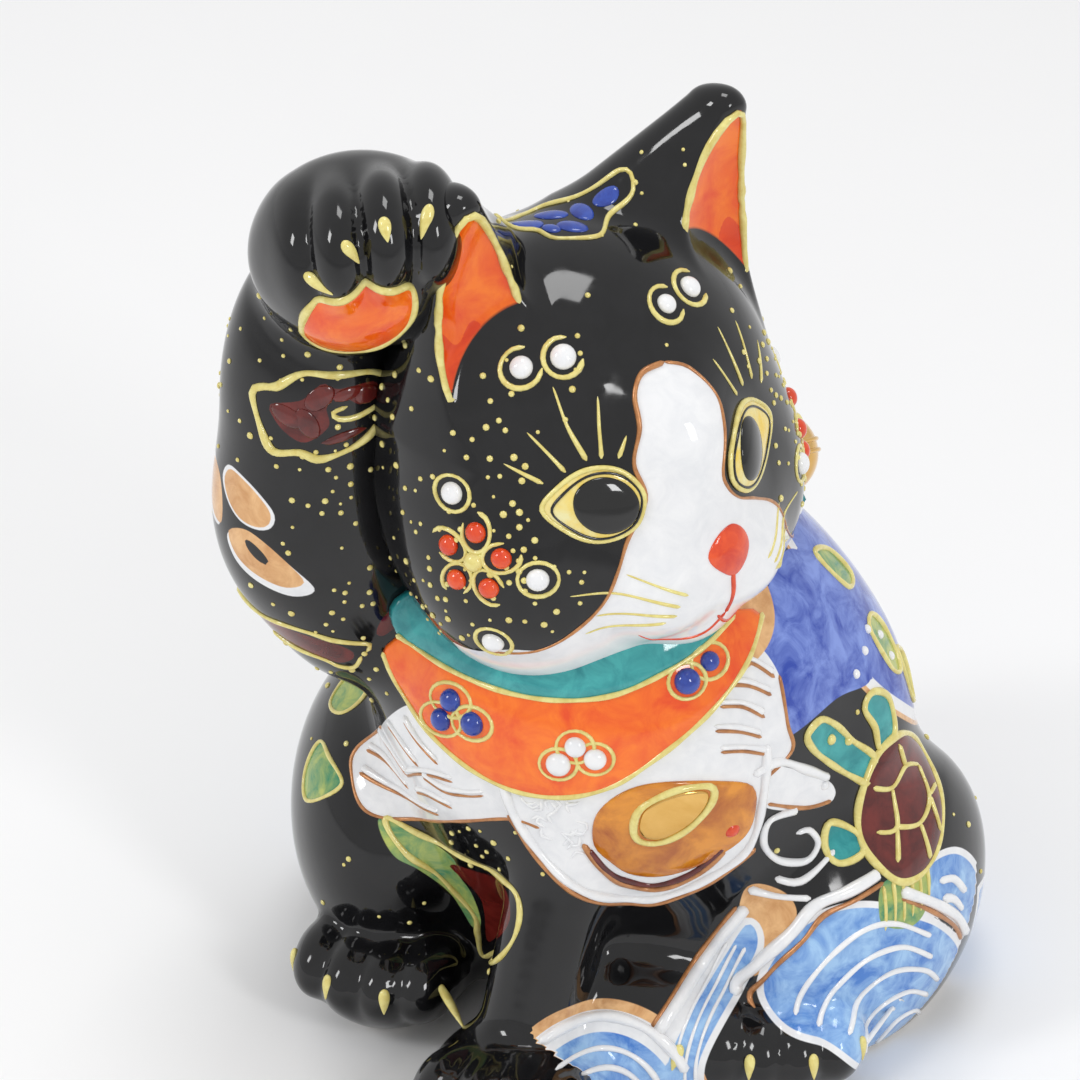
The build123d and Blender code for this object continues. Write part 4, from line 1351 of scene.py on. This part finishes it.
on_body.wash(
    "sea", FAN, [(6.5, 7), (3.5, 1), (1, -5), (-1, -12), (-1.5, -22), (3, -22), (3.6, -12), (6, -4),
    (8.6, 4)], depth=20,
)
trail("white", FAN, [(6, 10), (2, 3), (-1, -3), (-4.2, -11), (-4.6, -22)], 1.1, wobble=0.06)
trail("copper", FAN, [(4.6, 10), (0.6, 3), (-2.4, -3), (-5.6, -11), (-6, -22)], 0.42)
for x in (2, 3.6, 5.2):
    trail("white", FAN, [(x + 1.4, 3), (x - 1, -4), (x - 2, -11), (x - 2, -18)], 0.3)
on_body.wash("tan", HAUNCH, [(-14, 13), (-8, 12), (-6, 8), (-9.6, 4), (-12.6, -2), (-15, 2)], depth=18)
FAN_LOW = chart(BODY_TREE, (12, -34, 12), (0.1, -0.85, 0.5))
for radius, name in ((16.6, "copperedge"), (15.0, "white"), (12.4, "copperedge2"), (11.6, "sea")):
    on_body.wash(name, FAN_LOW, ring((-1, -9), radius, radius * 1.05, 20), depth=11)
for radius, thick in ((14.0, 0.95), (9.2, 0.5), (6.4, 0.5), (3.6, 0.5)):
    line = [(-1 + radius * math.cos(a), -9 + 1.05 * radius * math.sin(a)) for a in np.linspace(0.5, 2.4, 8)]
    trail("white", FAN_LOW, line, thick)
print("white ropes with the waves:", len(TRAILS["white"]))

# %% [markdown]
# ## Thigh patch and leaves
# A green and maroon patch runs down the right thigh, and three green leaves sit behind it. They are flat
# washes with a pale yellow rope round them, which is the quickest way to give thin enamel a clean edge.

# %% Thigh patch and leaves on the right side
THIGH = chart(BODY_TREE, (-16, -28, 31), (-0.13, -0.99, 0.09))
THIGH_Y = [
    (-16, 9.5), (-9.5, 7.6), (-2, 7.4), (6, 8), (11, 8.6), (13, 6.5), (13, 2.5), (11, -2), (7, -7),
    (-1, -17), (-2, -12), (-2, -8.5), (-5, -4), (-8, 0.5), (-12, 4),
]
on_body.wash(
    "green", THIGH, [(-17, 9.5), (-9, 7), (-4, 5), (-4, 1), (-2, -3), (-1, -9), (-3, -11), (-6, -4),
    (-10, 1), (-14, 4)],
)
on_body.wash(
    "maroon", THIGH, [(-5, 3), (2.5, 5.4), (8.6, 7), (11, 5), (10.4, 1.5), (5, -6), (0, -13), (0, -6.5),
    (-0.5, -2.5), (-4, 0.8)],
)
trail("cream", THIGH, THIGH_Y, 0.5, closed=True, wobble=0.2)
LEAFS = chart(BODY_TREE, (-45, -14, 56), (-0.67, -0.65, 0.36))
for leaf in (
    [(-2.5, -11), (-2.5, -17), (1, -20), (5.5, -17), (8, -12.5), (2.5, -11)],
    [(-14, 8), (-15, 2), (-12, -1), (-8.5, 1.5), (-9.5, 7)],
    [(-3, 8), (-9, 0), (-7.5, -6), (-2, -5), (0, 1)],
):
    on_body.wash("green", LEAFS, leaf)
    trail("cream", LEAFS, leaf, 0.36, closed=True)
print("washes on the body:", len(on_body.washes))

# %% [markdown]
# ## The back and the far side
# The back keeps the language of the front: a blue robe over the shoulders with a white and copper hem, rows
# of waves round the rump, and pale dots. The robe is one more egg field: where the skin lies inside the egg
# it is blue, and two thin shells round it give the hem, so its long edge needs no drawing.

# %% Robe over the back
p = on_body.points
robe = egg(p, (14, 30, 66), (38, 34, 31), 20, -10)
robe = np.maximum(robe, -egg(p, (-44, -16, 92), (24, 26, 44)))
BACK_CLOTH = chart(BODY_TREE, (33, -4, 73), (0.88, -0.22, 0.43))
on_body.wash(
    "robe", BACK_CLOTH, [(-14, -7), (-15, 3), (-12, 10), (-2, 15), (8, 16), (14, 8), (16, -4), (12, -10),
    (2, -8)],
)
on_body.add("robe", np.clip(robe, -6, 4))
on_body.add("robewhite", np.clip(robe - 1.6, -6, 4))
on_body.add("robecopper", np.clip(robe - 2.3, -6, 4))
low = np.maximum(p[:, 2] - 17 - 3.0 * np.cos(np.arctan2(p[:, 1] - 12, p[:, 0]) * 9), 16 - p[:, 1])
on_body.add("hem", np.clip(low - 1.5, -6, 4))
on_body.add("sea", np.clip(low, -6, 4))
for leaf in (
    [(18, -4), (22, -3), (25, -8), (24, -14), (20, -12)], [(14, 12), (20, 10), (23, 4), (18, 4)],
    [(26, -12), (30, -14), (30, -22), (26, -20)],
):
    on_body.wash("green", BACK_CLOTH, leaf)
    trail("cream", BACK_CLOTH, leaf, 0.5, closed=True)
NAPE = chart(BODY_TREE, (0, 52, 52), (0, 1, 0.1))
for x0, y0 in ((-18, 6), (-2, 10), (-9, -6), (-25, -8)):
    for r in (6.0, 4.2, 2.4):
        arc = [(x0 + r * math.cos(a), y0 + r * math.sin(a)) for a in np.linspace(0.2, 2.95, 8)]
        trail("white", NAPE, arc, 0.4)
for side_x in (-1, 1):
    for x0 in (6, 20):
        for r in (5.6, 3.6, 1.8):
            arc = [(side_x * x0 + r * math.cos(a), -42 + r * math.sin(a)) for a in np.linspace(0.2, 2.95, 8)]
            trail("white", NAPE, arc, 0.4)
print("washes with the robe:", len(on_body.washes))

# %% [markdown]
# ## Dots
# Hundreds of pale dots fill the black between the motifs. Each is a tiny drop; they crowd round the cheek
# flower and the arm cloud and thin out away from them. A dot is left out where a wash or a pad lies.

# %% Scatter the dots
def dot_spots(skin, count, seed, keep, crowd):
    """Random skin points: keep says where, crowd gives centres that draw the dots."""
    rng = np.random.default_rng(seed)
    free = np.ones(len(skin.points), bool)
    for value in skin.washes.values():
        free &= value > 1.2
    free &= keep(skin.points, skin.normals)
    weight = np.full(len(skin.points), 0.12)
    for centre, size, pull in crowd:
        far = np.linalg.norm(skin.points - np.array(centre, float), axis=1)
        weight += pull * np.exp(-((far / size) ** 2))
    weight = weight * free
    chosen = rng.choice(len(weight), count * 2, replace=False, p=weight / weight.sum())
    spots, kept = [], []
    for i in chosen:
        at = skin.points[i]
        if all(np.linalg.norm(at - q) > 1.5 for q in kept):
            kept.append(at)
            spots.append((at, skin.normals[i], rng.uniform(0.28, 0.62)))
        if len(spots) == count:
            break
    return spots


def head_keep(p, n):
    h = to_head(p)
    eyes = np.minimum(np.linalg.norm(h - (-17, -27, 6), axis=1), np.linalg.norm(h - (9, -28, 8), axis=1))
    return (eyes > 10.5) & (h[:, 2] > -27) & (h[:, 2] < 46)


def body_keep(p, n):
    paws = (p[:, 2] < 20) & (p[:, 1] < -8)
    belly = (p[:, 1] < -10) & (p[:, 0] > -8) & (p[:, 2] < 44)
    top = p[:, 2] > 142
    return ~paws & ~belly & ~top & (p[:, 2] > 6)


FLOWER = from_head([(-31, -17, -3)])[0]
FLOWER_LEFT = from_head([(31, -17, -3)])[0]
spots = dot_spots(
    on_head, 330, 3, head_keep, [(FLOWER, 15, 3.0), (FLOWER_LEFT, 15, 3.0),
    (from_head([(-26, -8, 16)])[0], 9, 0.8)],
)
spots += dot_spots(
    on_body, 300, 4, body_keep, [((-38, -33, 112), 13, 2.0), ((-36, -30, 82), 9, 2.2),
    ((-5, -34, 34), 9, 3.0), ((-12, -33, 46), 8, 1.0), ((50, 5, 60), 12, 0.4)],
)
drops("pale_dots", cream, spots, high=0.7, sides=8, rings=5)
print("pale dots:", len(spots))

# %% [markdown]
# ## Beads and ropes
# All beads of one colour are one piece, and so are all ropes of one colour. One piece for each enamel keeps
# the list short and lets a colour be changed in one place.

# %% Beads and trails become pieces
drops("white_bead_enamel", white_raised, whites, high=0.75, sides=20, rings=12)
drops("red_bead_enamel", red_raised, reds, high=0.8, sides=20, rings=12)
drops("yellow_bead_enamel", cream, yellows, high=0.8, sides=20, rings=12)
drops("blue_bead_enamel", blue_raised, blues, high=0.8, sides=20, rings=12)
for colour, material in (
    ("cream", cream), ("copper", copper), ("red", red_raised), ("white", white_raised),
    ("maroon", maroon_pad), ("teal", teal_pad), ("black", black_line), ("gilt", gilt),
):
    piece = make_trails(colour, material)
    print(piece.name, len(TRAILS[colour]), "lines,", len(piece.data.polygons), "faces")

# %% [markdown]
# ## Disc under the base
# The opening in the foot is closed by a bare oval disc with a drain hole in its middle. Half of its section
# is drawn once and spun round, then squeezed to an oval.

# %% Disc under the base
bm = bmesh.new()
profile = [(5, 1.9), (5.4, 1.5), (23.4, 1.5), (24, 2.1), (24, 5.5), (5, 5.5)]
ring_verts = [bm.verts.new((x * MM, 0, z * MM)) for x, z in profile]
edges = [bm.edges.new((a, b)) for a, b in zip(ring_verts, ring_verts[1:] + ring_verts[:1])]
bmesh.ops.spin(
    bm, geom=ring_verts + edges, axis=(0, 0, 1), cent=(0, 0, 0), steps=96, angle=2 * math.pi,
    use_merge=True,
)
bmesh.ops.remove_doubles(bm, verts=bm.verts, dist=1e-6)
bmesh.ops.recalc_face_normals(bm, faces=bm.faces)
place = Matrix.Translation(Vector((np.array([*DISC_AT, 0]) + SHIFT) * MM)) @ Matrix.Diagonal(Vector((1,
    0.75, 1, 1)))
bmesh.ops.transform(bm, matrix=place, verts=bm.verts)
mesh = bpy.data.meshes.new("foot_disc")
bm.to_mesh(mesh)
bm.free()
bare = glaze("bare porcelain", (0.62, 0.60, 0.56), (0.50, 0.47, 0.43), size=500, rough=0.6, coat=0.0)
disc = finish_piece("foot_disc", mesh, bare)
print("disc faces:", len(disc.data.polygons))

# %% [markdown]
# ## Firing
# The washes are stored on the skins as distances to their edges. The shader turns each distance into a sharp
# edge, one layer over the other, so a painted edge stays crisp however coarse the net is.

# %% Fire the skins
on_body.add("foot", np.clip(np.maximum(on_body.points[:, 2] - 1.4, 0.4 + on_body.normals[:, 2]), -4, 4))
on_head.store()
on_body.store()
layers_head = [
    ("white", 0.0, *WHITE, 220),
    ("orange", 0.0, *ORANGE, 140),
    ("orangered", 0.0, (0.80, 0.075, 0.004), (0.62, 0.03, 0.003), 140),
]
layers_body = [
    ("robecopper", 0, *TAN, 500), ("robewhite", 0, *WHITE, 300), ("robe", 0, *ROBE, 190),
    ("hem", 0, *WHITE, 300), ("copperedge", 0, *TAN, 400), ("white", 0, *WHITE, 300),
    ("copperedge2", 0, *TAN, 400),
    ("tan", 0, *TAN, 260), ("hole", 0, *BLACK, 100), ("sea", 1.1, *WHITE, 300), ("sea", 0, *SEA, 210),
    ("green", 0, *GREEN, 200), ("teal", 0, *TEAL, 200),
    ("maroon", 0, *MAROON, 260), ("foot", 0, (0.62, 0.60, 0.56), (0.50, 0.47, 0.43), 500),
]
for skin, name, layers in (
    (on_head, "painted head glaze", layers_head), (on_body, "painted body glaze", layers_body),
):
    skin.piece.data.materials.clear()
    skin.piece.data.materials.append(painted(name, layers, BLACK))
    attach(skin.piece, "root")
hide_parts("head_casting", "left_ear", "right_ear", "left_ear_lining", "right_ear_lining")
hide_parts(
    "body_casting", "raised_arm", "standing_foreleg", "left_hind_foot", "right_hind_foot", "tail",
)
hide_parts("nose")
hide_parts("palm_pad")
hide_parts("bib")
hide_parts("neck_scarf")
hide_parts("bell")
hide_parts("base_disc")
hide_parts("white_beads")
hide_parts("red_beads")
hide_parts("yellow_beads")
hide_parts("blue_beads")
print("layers:", len(layers_head), "on the head,", len(layers_body), "on the body")

# %% [markdown]
# ## Floor, light and camera
# A pale floor, a bright even room and three small softboxes. The black glaze is seen mostly by what it
# reflects, so the room gives the grey sheen and the softboxes give the white glints on the toes.

# %% Floor, light and camera
def area(name, at, look, size, power, colour=(1, 1, 1)):
    light = bpy.data.lights.new(name, "AREA")
    light.shape = "RECTANGLE"
    light.size, light.size_y = size
    light.energy = power
    light.color = colour
    lamp = bpy.data.objects.new(name, light)
    bpy.context.collection.objects.link(lamp)
    lamp.location = at
    lamp.rotation_euler = (Vector(look) - Vector(at)).to_track_quat("-Z", "Y").to_euler()
    return lamp


bm = bmesh.new()
bmesh.ops.create_grid(bm, x_segments=1, y_segments=1, size=4)
floor_mesh = bpy.data.meshes.new("floor")
bm.to_mesh(floor_mesh)
bm.free()
floor = bpy.data.objects.new("floor", floor_mesh)
bpy.context.collection.objects.link(floor)
floor.data.materials.append(
    glaze("pale floor", (0.90, 0.90, 0.905), (0.885, 0.885, 0.89), size=3, ripple=0.0, rough=0.7,
    coat=0.0),
)
world = bpy.data.worlds.new("studio")
bpy.context.scene.world = world
bpy.context.scene.view_settings.view_transform = "Standard"
world.use_nodes = True
world.node_tree.nodes["Background"].inputs["Color"].default_value = (1, 1, 1, 1)
world.node_tree.nodes["Background"].inputs["Strength"].default_value = 0.76
area("left softbox", (-0.55, -0.5, 0.6), (0, 0, 0.08), (0.16, 0.26), 1.7)
area("right softbox", (0.6, -0.4, 0.5), (0, 0, 0.08), (0.14, 0.24), 1.4)
area("top softbox", (0.0, 0.1, 0.9), (0, 0, 0.08), (0.25, 0.25), 1.35)

CAMERA_AZIMUTH = math.radians(18)
CAMERA_HEIGHT = math.radians(33)
CAMERA_DISTANCE = 750.0
back = np.array([
    math.sin(CAMERA_AZIMUTH) * math.cos(CAMERA_HEIGHT),
    -math.cos(CAMERA_AZIMUTH) * math.cos(CAMERA_HEIGHT),
    math.sin(CAMERA_HEIGHT),
])
right = np.array([math.cos(CAMERA_AZIMUTH), math.sin(CAMERA_AZIMUTH), 0])
up = np.cross(back, right)
target = np.array([0, 0, 85.0])
spot = target + back * CAMERA_DISTANCE
aim = target - right * 12.7 + up * 0.8
camera = bpy.data.objects.new("camera", bpy.data.cameras.new("camera"))
bpy.context.collection.objects.link(camera)
camera.data.lens = 157.5
camera.data.clip_start = 0.01
camera.location = Vector((spot + SHIFT) * MM)
camera.rotation_euler = Vector((aim - spot) * MM).to_track_quat("-Z", "Y").to_euler()
bpy.context.scene.camera = camera
print("camera at", [round(v, 3) for v in camera.location])
